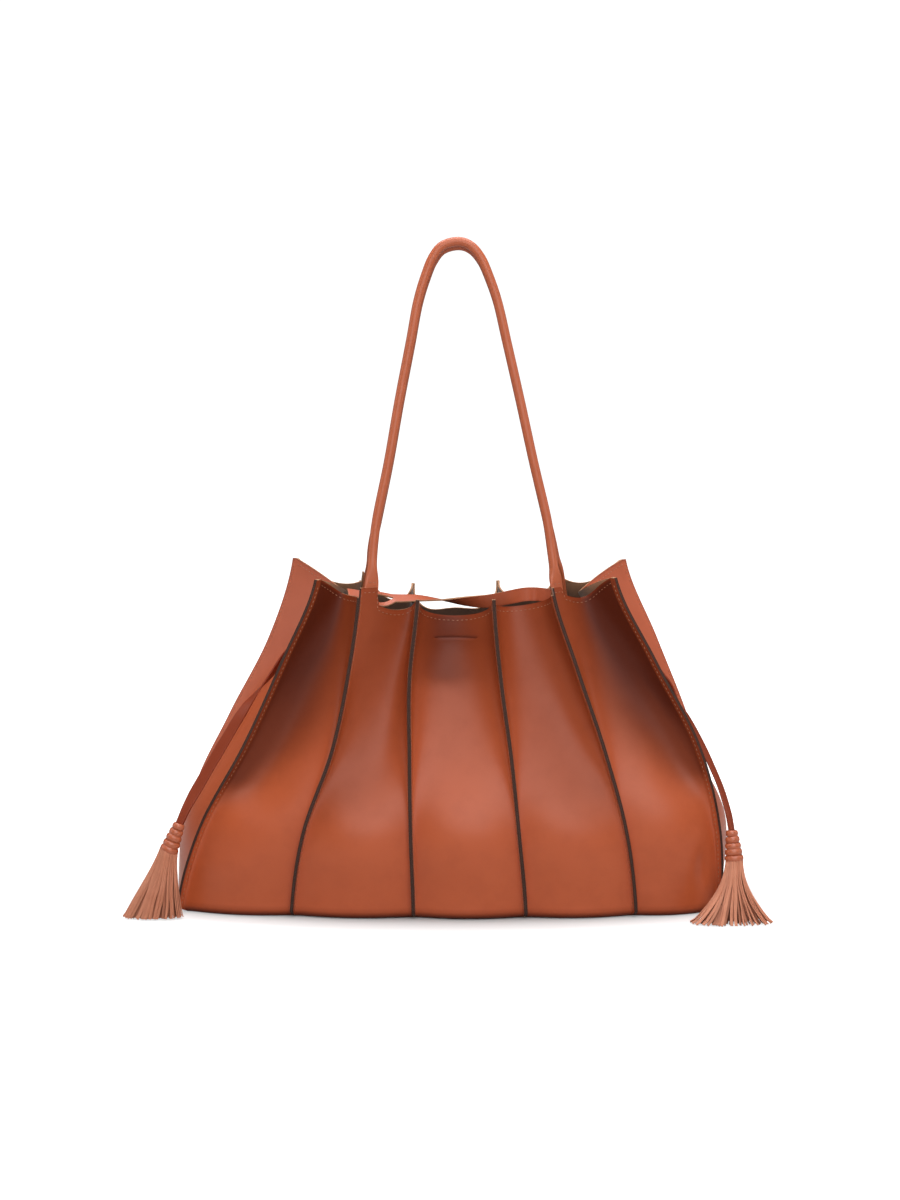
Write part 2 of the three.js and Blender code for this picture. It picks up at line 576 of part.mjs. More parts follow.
// Fringe of flat locks hanging round a core, spreading towards the floor.
function fringeBody(row) {
  const foot = sharesToPoint(row.wrapFoot);
  const axis = foot.clone().sub(sharesToPoint(row.wrapAt)).normalize();
  const head = sharesToPoint(row.wrapAt).addScaledVector(axis, wrapLength + clearance);
  const ground = new THREE.Vector3(row.fringeAt[0] * bodyWidth / 2,
    row.fringeAt[1] * bodyDepth / 2, 0);
  const headRadius = wrapBottom / 2 - lockThickness / 2;
  const [spreadX, spreadY] = row.spread;
  const stations = [0, 0.3, 0.62, 1];
  const spreadAt = (share, full) => lerp(headRadius, full, Math.pow(share, fringeFlare));
  const middleAt = (share) => head.clone().lerp(ground, share);
  const square = (point, middle, share) => {
    const offset = point.clone().sub(middle);
    point.z -= (offset.x * axis.x + offset.y * axis.y) / axis.z * (1 - share);
    return point;
  };
  const coreRings = stations.map((share) => {
    const middle = middleAt(lerp(0.03, 0.93, share));
    return ovalRing(middle, new THREE.Vector3(1, 0, 0), new THREE.Vector3(0, -1, 0),
      2 * spreadAt(share, spreadX) - lockThickness, 2 * spreadAt(share, spreadY) - lockThickness,
      lockCount).map((point) => square(point, middle, share));
  });
  let solid = toSolid(loftBody(coreRings));
  for (let k = 0; k < lockCount; k += 1) {
    const angle = 2 * Math.PI * (k + 0.5) / lockCount;
    const rings = stations.map((share) => {
      const rx = spreadAt(share, spreadX);
      const ry = spreadAt(share, spreadY);
      const middle = middleAt(share);
      const place = middle.clone();
      place.x += rx * Math.cos(angle);
      place.y -= ry * Math.sin(angle);
      const wide = new THREE.Vector3(-rx * Math.sin(angle), -ry * Math.cos(angle), 0);
      const width = wide.length() * 2 * Math.PI / lockCount * lockFill;
      wide.normalize();
      const out = new THREE.Vector3(-wide.y, wide.x, 0);
      return [[-1, -1], [1, -1], [1, 1], [-1, 1]].map(([a, b]) => square(place.clone()
        .addScaledVector(wide, a * width / 2)
        .addScaledVector(out, b * lockThickness / 2), middle, share));
    });
    solid = solid.add(toSolid(loftBody(rings)));
  }
  return fromSolid(solid);
}

const finishes = {
  leather: { color: 0xa8512c, roughness: 0.5, metalness: 0 },
  rolled: { color: 0xb05a38, roughness: 0.45, metalness: 0 },
  base: { color: 0x8a4326, roughness: 0.65, metalness: 0 },
  fringe: { color: 0xc98663, roughness: 0.75, metalness: 0 },
};
const bag = new THREE.Group();
bag.name = 'tote_bag';

function addPiece(name, geometry, finish) {
  const mesh = new THREE.Mesh(geometry, new THREE.MeshStandardMaterial(finishes[finish]));
  mesh.name = name;
  bag.add(mesh);
  return mesh;
}

for (const panel of panels) {
  addPiece(panel.name, panelBody(panel), 'leather');
}
addPiece('base_panel', basePanel(), 'base');
for (const row of handleFeet) {
  addPiece(row.name, handleBody(row), 'rolled');
}
addPiece('closing_strap', strapBody(), 'leather');
for (const row of ties) {
  const side = row.name.replace('tie_', '');
  addPiece(row.name, tieBody(row), 'rolled');
  const wrap = addPiece(`tassel_wrap_${side}`, wrapBody(), 'rolled');
  const axis = sharesToPoint(row.wrapFoot).sub(sharesToPoint(row.wrapAt)).normalize();
  wrap.position.copy(sharesToPoint(row.wrapAt));
  wrap.quaternion.setFromUnitVectors(new THREE.Vector3(0, 1, 0), axis);
  addPiece(`tassel_fringe_${side}`, fringeBody(row), 'fringe');
}

export default bag;
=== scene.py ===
import bpy
import bmesh
import json
import math
import numpy as np
from mathutils import Matrix, Vector, noise

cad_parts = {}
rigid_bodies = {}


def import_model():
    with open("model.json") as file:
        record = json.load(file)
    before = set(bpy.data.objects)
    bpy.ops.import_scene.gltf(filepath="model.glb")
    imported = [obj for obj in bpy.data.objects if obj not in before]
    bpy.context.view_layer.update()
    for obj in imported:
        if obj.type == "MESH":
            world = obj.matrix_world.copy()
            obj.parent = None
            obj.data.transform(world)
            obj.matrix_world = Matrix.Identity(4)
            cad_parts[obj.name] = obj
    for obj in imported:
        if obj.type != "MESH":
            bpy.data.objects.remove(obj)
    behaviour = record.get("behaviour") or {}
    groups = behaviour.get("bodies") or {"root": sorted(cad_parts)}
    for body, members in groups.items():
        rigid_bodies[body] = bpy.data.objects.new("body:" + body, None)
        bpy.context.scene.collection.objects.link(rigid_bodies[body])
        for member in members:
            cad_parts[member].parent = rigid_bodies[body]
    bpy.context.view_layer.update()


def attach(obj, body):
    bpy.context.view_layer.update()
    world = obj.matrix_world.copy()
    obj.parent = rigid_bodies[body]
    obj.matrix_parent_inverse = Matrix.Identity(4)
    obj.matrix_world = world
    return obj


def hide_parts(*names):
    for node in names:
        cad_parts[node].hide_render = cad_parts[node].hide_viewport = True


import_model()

# Leather tote bag in metres: +Z up, front towards -Y, origin under the middle of the base.
cameraView = {
    "place": (0.0, -2.1786, 0.5752),
    "aim": (0.0, 0.0, 0.26902),
    "lens": 74.34,
    "sensor": 36,
}

bodySize = {
    "width": 0.480, "depth": 0.172, "height": 0.279, "mouth": 0.120,
    "wall": 0.0015, "fin": 0.005, "finAtFloor": 0.2, "pleat": 0.030, "gusset": 0.042,
    "belly": 0.016, "scallop": 0.017, "floorRadius": 0.005, "seamGap": 0.00012,
    "clearance": 0.0003, "tabTop": 0.2872, "tabFall": 0.035, "topRun": 0.27,
    "acrossCuts": 58, "upCuts": 72, "turnCuts": 6, "finCuts": 3,
}
floorStart = bodySize["wall"] + bodySize["floorRadius"]

# How far out the seams stand, from the floor to the tip, in half depths of the bag.
seamOuts = {
    "frontCorner": [0.72, 0.84, 0.9, 0.93, 1],
    "backCorner": [0.72, 0.86, 0.95, 0.98, 1.03],
    "outer": [0.93, 1.05, 1.05, 1.02, 1],
    "inner": [0.99, 1.1, 1.09, 1.02, 0.97],
}
# side, across in half widths from the floor to the tip, out, rise of the tip, turn at floor and tip
seamRows = {
    "frontCornerLeft": (-1, [-0.996, -0.908, -0.746, -0.608, -0.483], "frontCorner", 1.057, (48, 40)),
    "frontOuterLeft": (-1, [-0.575, -0.529, -0.425, -0.363, -0.325], "outer", 1.037, (10, 8)),
    "frontInnerLeft": (-1, [-0.133, -0.142, -0.146, -0.146, -0.117], "inner", 0.993, (3, 2)),
    "frontInnerRight": (-1, [0.275, 0.25, 0.221, 0.183, 0.158], "inner", 0.993, (-4, -3)),
    "frontOuterRight": (-1, [0.675, 0.6375, 0.558, 0.458, 0.367], "outer", 1.037, (-12, -10)),
    "frontCornerRight": (-1, [0.996, 0.98, 0.9, 0.742, 0.596], "frontCorner", 1.063, (-48, -42)),
    "backCornerRight": (1, [0.996, 1.004, 0.908, 0.786, 0.663], "backCorner", 1.068, (-45, -46)),
    "backOuterRight": (1, [0.6, 0.585, 0.52, 0.45, 0.39], "outer", 1.035, (-12, -10)),
    "backInnerRight": (1, [0.21, 0.205, 0.2, 0.19, 0.182], "inner", 1, (-4, -3)),
    "backInnerLeft": (1, [-0.19, -0.18, -0.17, -0.158, -0.14], "inner", 0.991, (3, 2)),
    "backOuterLeft": (1, [-0.575, -0.55, -0.46, -0.39, -0.333], "outer", 1.035, (12, 10)),
    "backCornerLeft": (1, [-0.996, -0.985, -0.845, -0.687, -0.592], "backCorner", 1.072, (45, 47)),
}
seamKeys = ("side", "across", "out", "rise", "turn")
seams = {name: dict(zip(seamKeys, row)) for name, row in seamRows.items()}

belly = {"plain": [0.9, 1, 0.4, 0.1, 0], "backLeft": [0.9, 1.1, 0.5, 0.1, 0], "side": [0.9, 1.2, 0.4, 0, 0]}
# from, to, depth, fold from floor to tip, belly, drop, dropFrom, dropTo, low, round, leave, arrive
panelRows = {
    "front_panel_1": ("frontCornerLeft", "frontOuterLeft", "pleat", [0.33, 0.36, 0.5, 0.62, 0.72],
                      "plain", 0.34, 0, 0.6, 0.5, 1, 0, 35),
    "front_panel_2": ("frontOuterLeft", "frontInnerLeft", "pleat", [0.33, 0.36, 0.6, 0.78, 0.95],
                      "plain", 1.03, 0.1, 0, 0.36, 1, 62, 0),
    "front_panel_3": ("frontInnerLeft", "frontInnerRight", "pleat", [0.33, 0.36, 0.6, 0.8, 0.9],
                      "plain", 1.04, 0, 0, 0.5, 0.65, 0, 0),
    "front_panel_4": ("frontInnerRight", "frontOuterRight", "pleat", [0.33, 0.36, 0.55, 0.7, 0.78],
                      "plain", 0.62, 0, 0.48, 0.4, 0.8, 0, 0),
    "front_panel_5": ("frontOuterRight", "frontCornerRight", "pleat", [0.33, 0.36, 0.55, 0.7, 0.9],
                      "plain", 0.85, 0.1, 0, 0.42, 1, 58, 0),
    "side_gusset_right": ("frontCornerRight", "backCornerRight", "gusset", [0.24, 0.3, 0.62, 1.1, 1.45],
                          "side", 1.24, 0, 0, 0.5, 1, 0, 0),
    "back_panel_5": ("backCornerRight", "backOuterRight", "pleat", [0.33, 0.36, 0.5, 0.6, 0.7],
                     "plain", 0.75, 0, 0.1, 0.58, 1, 0, 55),
    "back_panel_4": ("backOuterRight", "backInnerRight", "pleat", [0.33, 0.36, 0.55, 0.7, 0.85],
                     "plain", 0.75, 0.48, 0, 0.5, 0.8, 0, 0),
    "back_panel_3": ("backInnerRight", "backInnerLeft", "pleat", [0.33, 0.36, 0.6, 0.8, 0.92],
                     "plain", 1.3, 0, 0, 0.5, 0.5, 0, 0),
    "back_panel_2": ("backInnerLeft", "backOuterLeft", "pleat", [0.33, 0.36, 0.55, 0.7, 0.8],
                     "plain", 1.15, 0, 0.1, 0.6, 1, 0, 60),
    "back_panel_1": ("backOuterLeft", "backCornerLeft", "pleat", [0.33, 0.36, 0.5, 0.6, 0.7],
                     "backLeft", 0.5, 0.6, 0, 0.5, 1, 30, 0),
    "side_gusset_left": ("backCornerLeft", "frontCornerLeft", "gusset", [0.24, 0.3, 0.62, 1.1, 1.4],
                         "side", 1.24, 0, 0, 0.5, 1, 0, 0),
}
panelKeys = ("from", "to", "depth", "fold", "belly", "drop", "dropFrom", "dropTo", "low", "round",
             "leave", "arrive")
panels = {name: dict(zip(panelKeys, row)) for name, row in panelRows.items()}
# a wave in the top edge, and how far the edge stays up beside the foot of a handle
panels["back_panel_3"]["wave"] = 0.0022
panels["front_panel_2"]["tab"] = 0.135
panels["front_panel_5"]["tab"] = 0.105


# Shader helpers: a wrapped socket takes part in Python expressions.
class Value:
    def __init__(self, finish, socket):
        self.finish = finish
        self.socket = socket

    def join(self, operation, first, second):
        return self.finish.add("ShaderNodeMath", {"operation": operation}, {0: first, 1: second})

    def __add__(self, other):
        return self.join("ADD", self, other)

    def __mul__(self, other):
        return self.join("MULTIPLY", self, other)

    def span(self, low, high, start=0.0, end=1.0):
        return self.finish.add("ShaderNodeMapRange", {"clamp": True},
                               {"Value": self, "From Min": low, "From Max": high,
                                "To Min": start, "To Max": end})


class Finish:
    def __init__(self, name):
        self.material = bpy.data.materials.new(name)
        self.material.use_nodes = True
        self.nodes = self.material.node_tree.nodes
        self.links = self.material.node_tree.links
        self.nodes.clear()

    def add(self, kind, settings=None, inputs=None, output=0):
        node = self.nodes.new(kind)
        for key, setting in (settings or {}).items():
            setattr(node, key, setting)
        for key, given in (inputs or {}).items():
            socket = node.inputs[key]
            if isinstance(given, Value):
                self.links.new(given.socket, socket)
            elif isinstance(given, tuple) and len(given) == 3 and socket.type == "RGBA":
                socket.default_value = (*given, 1)
            else:
                socket.default_value = given
        return Value(self, node.outputs[output])

    def mixColor(self, factor, first, second):
        return self.add("ShaderNodeMix", {"data_type": "RGBA"}, {0: factor, 6: first, 7: second}, output=2)

    def objectPlace(self):
        return self.add("ShaderNodeTexCoord", output=3)

    def attribute(self, name):
        return self.add("ShaderNodeAttribute", {"attribute_name": name}, output=2)

    def noiseOf(self, where, scale, detail, roughness):
        return self.add("ShaderNodeTexNoise", {}, {"Vector": where, "Scale": scale,
                                                   "Detail": detail, "Roughness": roughness})

    def bump(self, strength, distance, height):
        return self.add("ShaderNodeBump", {}, {"Strength": strength, "Distance": distance, "Height": height})

    def close(self, color, roughness, normal=None, plain=None):
        inputs = {"Base Color": color, "Roughness": roughness}
        if normal is not None:
            inputs["Normal"] = normal
        inputs.update(plain or {})
        shader = self.add("ShaderNodeBsdfPrincipled", {}, inputs)
        end = self.nodes.new("ShaderNodeOutputMaterial")
        self.links.new(shader.socket, end.inputs["Surface"])
        return self.material


leatherLook = {
    "deep": (0.24, 0.034, 0.008),
    "shadow": (0.055, 0.006, 0.002),
    "base": (0.46, 0.087, 0.026),
    "light": (0.51, 0.106, 0.034),
    "roughness": 0.42,
    "grain": 0.00006,
    "mottle": 0.35,
    "sheen": 0.2,
    "coat": 0.45,
    "coatRoughness": 0.36,
}
# how many spots of each pattern there are to a metre
leatherScales = {"patches": 11.0, "clouds": 60.0, "creases": 130.0, "cells": 900.0, "pores": 1500.0}


def leatherFinish(name, look, edgeDark=True):
    finish = Finish(name)
    where = finish.objectPlace()
    broad = finish.noiseOf(where, leatherScales["patches"], 4.0, 0.6)
    cloudy = finish.noiseOf(where, leatherScales["clouds"], 3.0, 0.6)
    color = finish.mixColor(broad.span(0.35, 0.7) * look["mottle"], look["base"], look["light"])
    color = finish.mixColor(cloudy.span(0.45, 0.8) * (look["mottle"] * 0.45), color, look["deep"])
    # painted shade: the shade attribute darkens the colour toward the shadow colour
    shade = finish.attribute("shade")
    color = finish.mixColor(shade.span(0.0, 1.0), color, look["shadow"])
    if edgeDark:
        near = finish.attribute("edgeNear")
        color = finish.mixColor(near.span(0.0005, 0.0022, 0.55, 0.0), color, look["deep"])
    grain = finish.add("ShaderNodeTexVoronoi", {"feature": "DISTANCE_TO_EDGE"},
                       {"Vector": where, "Scale": leatherScales["cells"]})
    pores = finish.noiseOf(where, leatherScales["pores"], 2.0, 0.5)
    creases = finish.noiseOf(where, leatherScales["creases"], 5.0, 0.62)
    height = grain.span(0.0, 0.25) * 0.5 + pores * 0.4 + creases * 1.1
    normal = finish.bump(0.55, look["grain"], height)
    rough = cloudy * 0.16 + (look["roughness"] - 0.08)
    # the coat fades where shade is painted, so painted folds lose their gloss too
    coat = shade.span(0.0, 0.6, look["coat"], 0.0)
    return finish.close(color, rough, normal, {"Coat Weight": coat, "Coat Roughness": look["coatRoughness"],
                                               "Specular IOR Level": look["sheen"]})


suedeLook = {
    "base": (0.42, 0.21, 0.10),
    "deep": (0.26, 0.115, 0.05),
    # inner: painted shade colour the suede takes deeper inside the bag, fading in between the two heights
    # below
    "inner": (0.05, 0.02, 0.01),
    "shadeFullBelow": 0.262,
    "shadeEndsAt": 0.29,
    "nap": 0.0003,
    "roughness": 0.92,
}


def suedeFinish(look):
    finish = Finish("tan suede inside")
    where = finish.objectPlace()
    broad = finish.noiseOf(where, 30.0, 5.0, 0.65)
    nap = finish.noiseOf(where, 1100.0, 3.0, 0.7)
    color = finish.mixColor(broad.span(0.35, 0.72), look["base"], look["deep"])
    color = finish.mixColor(nap.span(0.35, 0.75) * 0.35, color, look["deep"])
    # painted shade: the suede turns dark below the mouth, deeper into the bag
    height = finish.add("ShaderNodeSeparateXYZ", {}, {0: where}, output=2)
    color = finish.mixColor(height.span(look["shadeFullBelow"], look["shadeEndsAt"], 0.9, 0.0), color, look["inner"])
    normal = finish.bump(0.7, look["nap"], nap)
    return finish.close(color, look["roughness"], normal, {"Sheen Weight": 0.25, "Sheen Roughness": 0.5})


edgeLook = {"paint": (0.05, 0.021, 0.014), "bare": (0.46, 0.24, 0.13), "roughness": 0.75, "relief": 0.0002}


def edgeFinish(look):
    # painted where the seams stand out, bare along the top edges
    paint, bare = look["paint"], look["bare"]
    finish = Finish("raw leather edge")
    where = finish.objectPlace()
    fibres = finish.noiseOf(where, 900.0, 4.0, 0.7)
    onSeam = finish.attribute("onSeam")
    raw = finish.mixColor(fibres.span(0.35, 0.7) * 0.6, bare, tuple(c * 0.45 for c in bare))
    worn = finish.mixColor(fibres.span(0.62, 0.8) * 0.3, paint, tuple(c * 2.0 for c in paint))
    color = finish.mixColor(onSeam.span(0.3, 0.6), raw, worn)
    normal = finish.bump(0.5, look["relief"], fibres)
    return finish.close(color, look["roughness"], normal, {"Specular IOR Level": 0.25})


threadLook = {"light": (0.50, 0.22, 0.12), "dark": (0.30, 0.10, 0.05), "roughness": 0.55, "relief": 0.0001}


def threadFinish(look):
    finish = Finish("waxed thread")
    where = finish.objectPlace()
    twist = finish.noiseOf(where, 2500.0, 2.0, 0.5)
    color = finish.mixColor(twist.span(0.3, 0.7), look["light"], look["dark"])
    normal = finish.bump(0.5, look["relief"], twist)
    return finish.close(color, look["roughness"], normal)


bodyLeather = leatherFinish("cognac leather", leatherLook)
suede = suedeFinish(suedeLook)
rawEdge = edgeFinish(edgeLook)
thread = threadFinish(threadLook)
print("finishes made")


# Values of a row's list between the floor and the tip, on a smooth curve through five levels.
def atLevel(shares, t):
    shares = np.asarray(shares, float)
    last = len(shares) - 1
    place = np.clip(t, 0, 1) * last
    k = np.minimum(np.floor(place).astype(int), last)
    w = place - k
    p0, p1 = shares[np.maximum(k - 1, 0)], shares[k]
    p2, p3 = shares[np.minimum(k + 1, last)], shares[np.minimum(k + 2, last)]
    v0, v1 = (p2 - p0) / 2, (p3 - p1) / 2
    return ((2 * p1 - 2 * p2 + v0 + v1) * w ** 3 + (-3 * p1 + 3 * p2 - 2 * v0 - v1) * w ** 2
            + v0 * w + p1)


def mix(a, b, share):
    return a + (b - a) * share


def smoothstep(x, low, high):
    share = np.clip((x - low) / (high - low), 0, 1)
    return share * share * (3 - 2 * share)


def unit(v):
    return v / np.maximum(np.linalg.norm(v, axis=-1, keepdims=True), 1e-12)


# Direction v turned square to the run.
def squareTo(v, along):
    return unit(v - along * np.sum(v * along, -1, keepdims=True))


def seamAt(name, height):
    seam = seams[name]
    side = seam["side"]
    t = np.clip((height - floorStart) / (seam["rise"] * bodySize["height"] - floorStart), 0, 1)
    halfDepth = mix(bodySize["depth"], bodySize["mouth"], t) / 2
    angle = np.radians(mix(seam["turn"][0], seam["turn"][1], t))
    place = np.stack([atLevel(seam["across"], t) * bodySize["width"] / 2,
                      side * atLevel(seamOuts[seam["out"]], t) * halfDepth], -1)
    return place, np.stack([-np.sin(angle), side * np.cos(angle)], -1)


def edgeHeight(panel, u):
    share = np.clip(u, 0, 1)
    tall = bodySize["height"]
    start = seams[panel["from"]]["rise"] * tall - panel["dropFrom"] * bodySize["scallop"]
    end = seams[panel["to"]]["rise"] * tall - panel["dropTo"] * bodySize["scallop"]
    skew = math.log(0.5) / math.log(panel["low"])
    dip = np.maximum(np.sin(math.pi * share ** skew), 0) ** panel["round"]
    wave = panel.get("wave", 0) * np.sin(math.pi * share) * np.cos(4 * math.pi * share)
    edge = mix(start, end, share) - panel["drop"] * bodySize["scallop"] * dip + wave
    if "tab" in panel:
        # the leather rises to the foot of a handle
        down = smoothstep(share, panel["tab"], panel["tab"] + bodySize["tabFall"])
        edge = mix(np.maximum(edge, bodySize["tabTop"]), edge, down)
    return edge


def turned(v, angle):
    c, s = np.cos(angle)[..., None], np.sin(angle)[..., None]
    return np.concatenate([v[..., :1] * c - v[..., 1:] * s, v[..., :1] * s + v[..., 1:] * c], -1)


# Suede side of a panel: u from seam to seam and on along the standing edges, t up the wall.
def suedePoint(panel, u, t):
    u, t = np.broadcast_arrays(np.asarray(u, float), np.asarray(t, float))
    share = np.clip(u, 0, 1)
    turnIn = np.maximum(-t, 0) * math.pi / 2
    height = mix(floorStart, edgeHeight(panel, u), np.maximum(t, 0))
    tip = mix(seams[panel["from"]]["rise"], seams[panel["to"]]["rise"], share) * bodySize["height"]
    level = np.clip((height - floorStart) / (tip - floorStart), 0, 1)
    fromPlace, fromOut = seamAt(panel["from"], height)
    toPlace, toOut = seamAt(panel["to"], height)
    half, fin = bodySize["seamGap"] / 2, bodySize["fin"]
    fromSide = np.stack([-fromOut[..., 1], fromOut[..., 0]], -1)
    toSide = np.stack([-toOut[..., 1], toOut[..., 0]], -1)
    start = fromPlace + fromSide * half - fromOut * fin
    end = toPlace - toSide * half - toOut * fin
    reach = (atLevel(panel["fold"], level) * bodySize[panel["depth"]] / 0.75)[..., None]
    flatten = smoothstep(level, 0.45, 1)
    leave = turned(-fromOut, -np.radians(panel["leave"] * flatten))
    arrive = turned(-toOut, np.radians(panel["arrive"] * flatten))
    s = share[..., None]
    outward = unit(fromOut * (1 - s) + toOut * s)
    place = (start * (1 - s) ** 3 + 3 * (start + leave * reach) * (1 - s) ** 2 * s
             + 3 * (end + arrive * reach) * (1 - s) * s ** 2 + end * s ** 3)
    swell = 16 * (share * (1 - share)) ** 2 * atLevel(belly[panel["belly"]], level) * bodySize["belly"]
    stand = fin * (1 - (1 - bodySize["finAtFloor"]) * np.sin(turnIn))
    place = place + outward * swell[..., None]
    place = place + fromOut * (np.maximum(-u, 0) * stand)[..., None]
    place = place + toOut * (np.maximum(u - 1, 0) * stand)[..., None]
    place = place - outward * (bodySize["floorRadius"] * (1 - np.cos(turnIn)))[..., None]
    return np.concatenate([place, (height - bodySize["floorRadius"] * np.sin(turnIn))[..., None]], -1)


def outwardAt(panel, u, t):
    u, t = np.broadcast_arrays(np.asarray(u, float), np.asarray(t, float))
    step = 0.01
    here = suedePoint(panel, u, t)
    before = unit(here - suedePoint(panel, np.maximum(u - step, -1), t))
    after = unit(suedePoint(panel, np.minimum(u + step, 2), t) - here)
    before = np.where((u <= -1 + 1e-9)[..., None], after, before)
    after = np.where((u >= 2 - 1e-9)[..., None], before, after)
    rising = suedePoint(panel, u, np.minimum(t + step, 1)) - suedePoint(panel, u, np.maximum(t - step, -1))
    return unit(np.cross(before + after, rising))


def panelPoint(panel, u, t, offset):
    return suedePoint(panel, u, t) + outwardAt(panel, u, t) * offset


# A grid formed by an array of points; rows run along it, columns across or round it.
def formGrid(bm, points, closed=False):
    rows, columns = points.shape[:2]
    grid = bmesh.ops.create_grid(bm, x_segments=columns - 1, y_segments=rows - 1, size=1)
    found = {}
    for vert in grid["verts"]:
        c = round((vert.co.x + 1) / 2 * (columns - 1))
        r = round((vert.co.y + 1) / 2 * (rows - 1))
        vert.co = points[r, c]
        found[vert] = (r, c)
    if closed:
        bmesh.ops.remove_doubles(bm, verts=grid["verts"], dist=1e-7)
    return found


def addObject(name, data):
    thing = bpy.data.objects.new(name, data)
    bpy.context.scene.collection.objects.link(thing)
    return thing


def meshOf(name, bm, materials=()):
    mesh = bpy.data.meshes.new(name)
    bm.to_mesh(mesh)
    bm.free()
    for material in materials:
        mesh.materials.append(material)
    return mesh


def pieceOf(name, bm, materials, replaces=(), smooth=True):
    mesh = meshOf(name, bm, materials)
    if smooth:
        mesh.shade_smooth()
    piece = addObject(name, mesh)
    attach(piece, "root")
    if replaces:
        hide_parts(*replaces)
    return piece


# Soft dents of the leather: place by panel share and height share, reach, depth into the bag.
dents = {
    "front_panel_1": [(0.55, 0.30, 0.30, 0.16, 0.0030), (0.35, 0.12, 0.25, 0.07, -0.0015)],
    "front_panel_2": [(0.40, 0.10, 0.30, 0.10, 0.0009), (0.55, 0.40, 0.25, 0.2, 0.0015)],
    "front_panel_3": [(0.5, 0.9, 0.32, 0.07, 0.0022), (0.30, 0.08, 0.3, 0.09, 0.0008)],
    "front_panel_4": [(0.25, 0.09, 0.3, 0.10, 0.0009), (0.7, 0.33, 0.3, 0.15, 0.0015)],
    "front_panel_5": [(0.72, 0.13, 0.12, 0.09, 0.0035), (0.25, 0.05, 0.25, 0.05, -0.0012)],
    "back_panel_2": [(0.5, 0.25, 0.25, 0.12, 0.0022)],
    "back_panel_4": [(0.4, 0.15, 0.25, 0.08, 0.0022)],
}
# Hollows that end below in a soft shelf: place across, reach, foot and top of the shelf, depth.
shelves = {
    "front_panel_1": (0.36, 0.30, 0.27, 0.40, 0.0065),
    "front_panel_2": (0.62, 0.30, 0.36, 0.60, 0.0030),
    "front_panel_4": (0.66, 0.30, 0.36, 0.60, 0.0030),
    "front_panel_5": (0.74, 0.28, 0.30, 0.46, 0.0055),
    "back_panel_1": (0.60, 0.30, 0.30, 0.42, 0.0050),
    "back_panel_5": (0.36, 0.30, 0.30, 0.44, 0.0050),
}
softness = {"wobble": 0.0009, "scale": 16.0, "tall": 0.7}
# the pressed line: depth, width, run and height, how it ends, and where the grid has closer rows
pressed = {"depth": 0.0009, "width": 0.0011, "from": -0.013, "to": 0.023, "height": 0.241, "end": 0.001,
           "rowsFrom": 0.895, "rowsTo": 0.945, "rows": 26}


def leatherGive(name, u, t, points, outward):
    share = np.clip(u, 0, 1)
    loose = 4 * share * (1 - share)  # nothing at the seams, one in the middle
    hold = loose ** 0.8 * (1 - smoothstep(t, 0.72, 0.95) * 0.9) * (t > 0)
    wobble = np.zeros(u.shape)
    for index in np.ndindex(u.shape):
        x, y, z = points[index] * softness["scale"]
        wobble[index] = noise.noise(Vector((x, y, z * softness["tall"])))
    give = wobble * softness["wobble"] * hold
    for middle, level, wide, tall, depth in dents.get(name, []):
        reach = ((u - middle) / wide) ** 2 + ((t - level) / tall) ** 2
        give = give - depth * np.exp(-2.0 * reach) * loose
    if name in shelves:
        middle, wide, foot, top, depth = shelves[name]
        hollow = smoothstep(t, foot, top) * (1 - smoothstep(t, top, 0.92))
        give = give - depth * hollow * np.exp(-2.0 * ((u - middle) / wide) ** 2) * loose
    line = pressedLine(name, points)
    give = give - pressed["depth"] * line
    return points + outward * give[..., None], line


# Plain pressed line under the middle of the scallop.
def pressedLine(name, points):
    if name != "front_panel_3":
        return np.zeros(points.shape[:2])
    x, z = points[..., 0], points[..., 2]
    begun = smoothstep(x, pressed["from"] - pressed["end"], pressed["from"])
    ended = smoothstep(x, pressed["to"], pressed["to"] + pressed["end"])
    return np.exp(-((z - pressed["height"]) / pressed["width"]) ** 2) * begun * (1 - ended)


# Painted shade: folds that turn down or away from a set light direction are darker, and so are the valleys
# near the top, each panel's dark fold side, the pressed line and the turn under to the floor.
shading = {"light": (0.12, 0.5, 0.86), "from": 0.42, "to": 0.0, "most": 0.12, "valley": 0.45, "line": 0.9,
           "gusset": 0.4, "floor": 0.75, "floorReach": 0.010, "limit": 0.9}
# painted shade of each panel's dark fold: dark side (0 for both), place across and reach at the foot and top,
# foot, top, strength at both
paintedFoldShade = {
    "front_panel_1": (-1, (0.10, 0.30), (0.16, 0.52), 0.24, 0.66, (0.80, 0.60)),
    "front_panel_2": (0, (0.25, 0.35), (0.60, 0.60), 0.12, 0.90, (0.45, 0.00)),
    "front_panel_3": (0, (0.42, 0.42), (0.36, 0.36), 0.70, 0.95, (0.35, 0.35)),
    "front_panel_4": (0, (0.70, 0.55), (0.60, 0.60), 0.12, 0.90, (0.38, 0.00)),
    "front_panel_5": (1, (0.98, 0.66), (0.28, 0.48), 0.28, 0.66, (0.60, 0.58)),
    "back_panel_1": (1, (0.98, 0.66), (0.28, 0.48), 0.28, 0.66, (0.58, 0.58)),
    "back_panel_2": (-1, (0.10, 0.20), (0.30, 0.40), 0.10, 0.60, (0.20, 0.20)),
    "back_panel_4": (1, (0.90, 0.80), (0.30, 0.40), 0.10, 0.60, (0.20, 0.20)),
    "back_panel_5": (-1, (0.02, 0.30), (0.30, 0.50), 0.28, 0.66, (0.58, 0.58)),
}


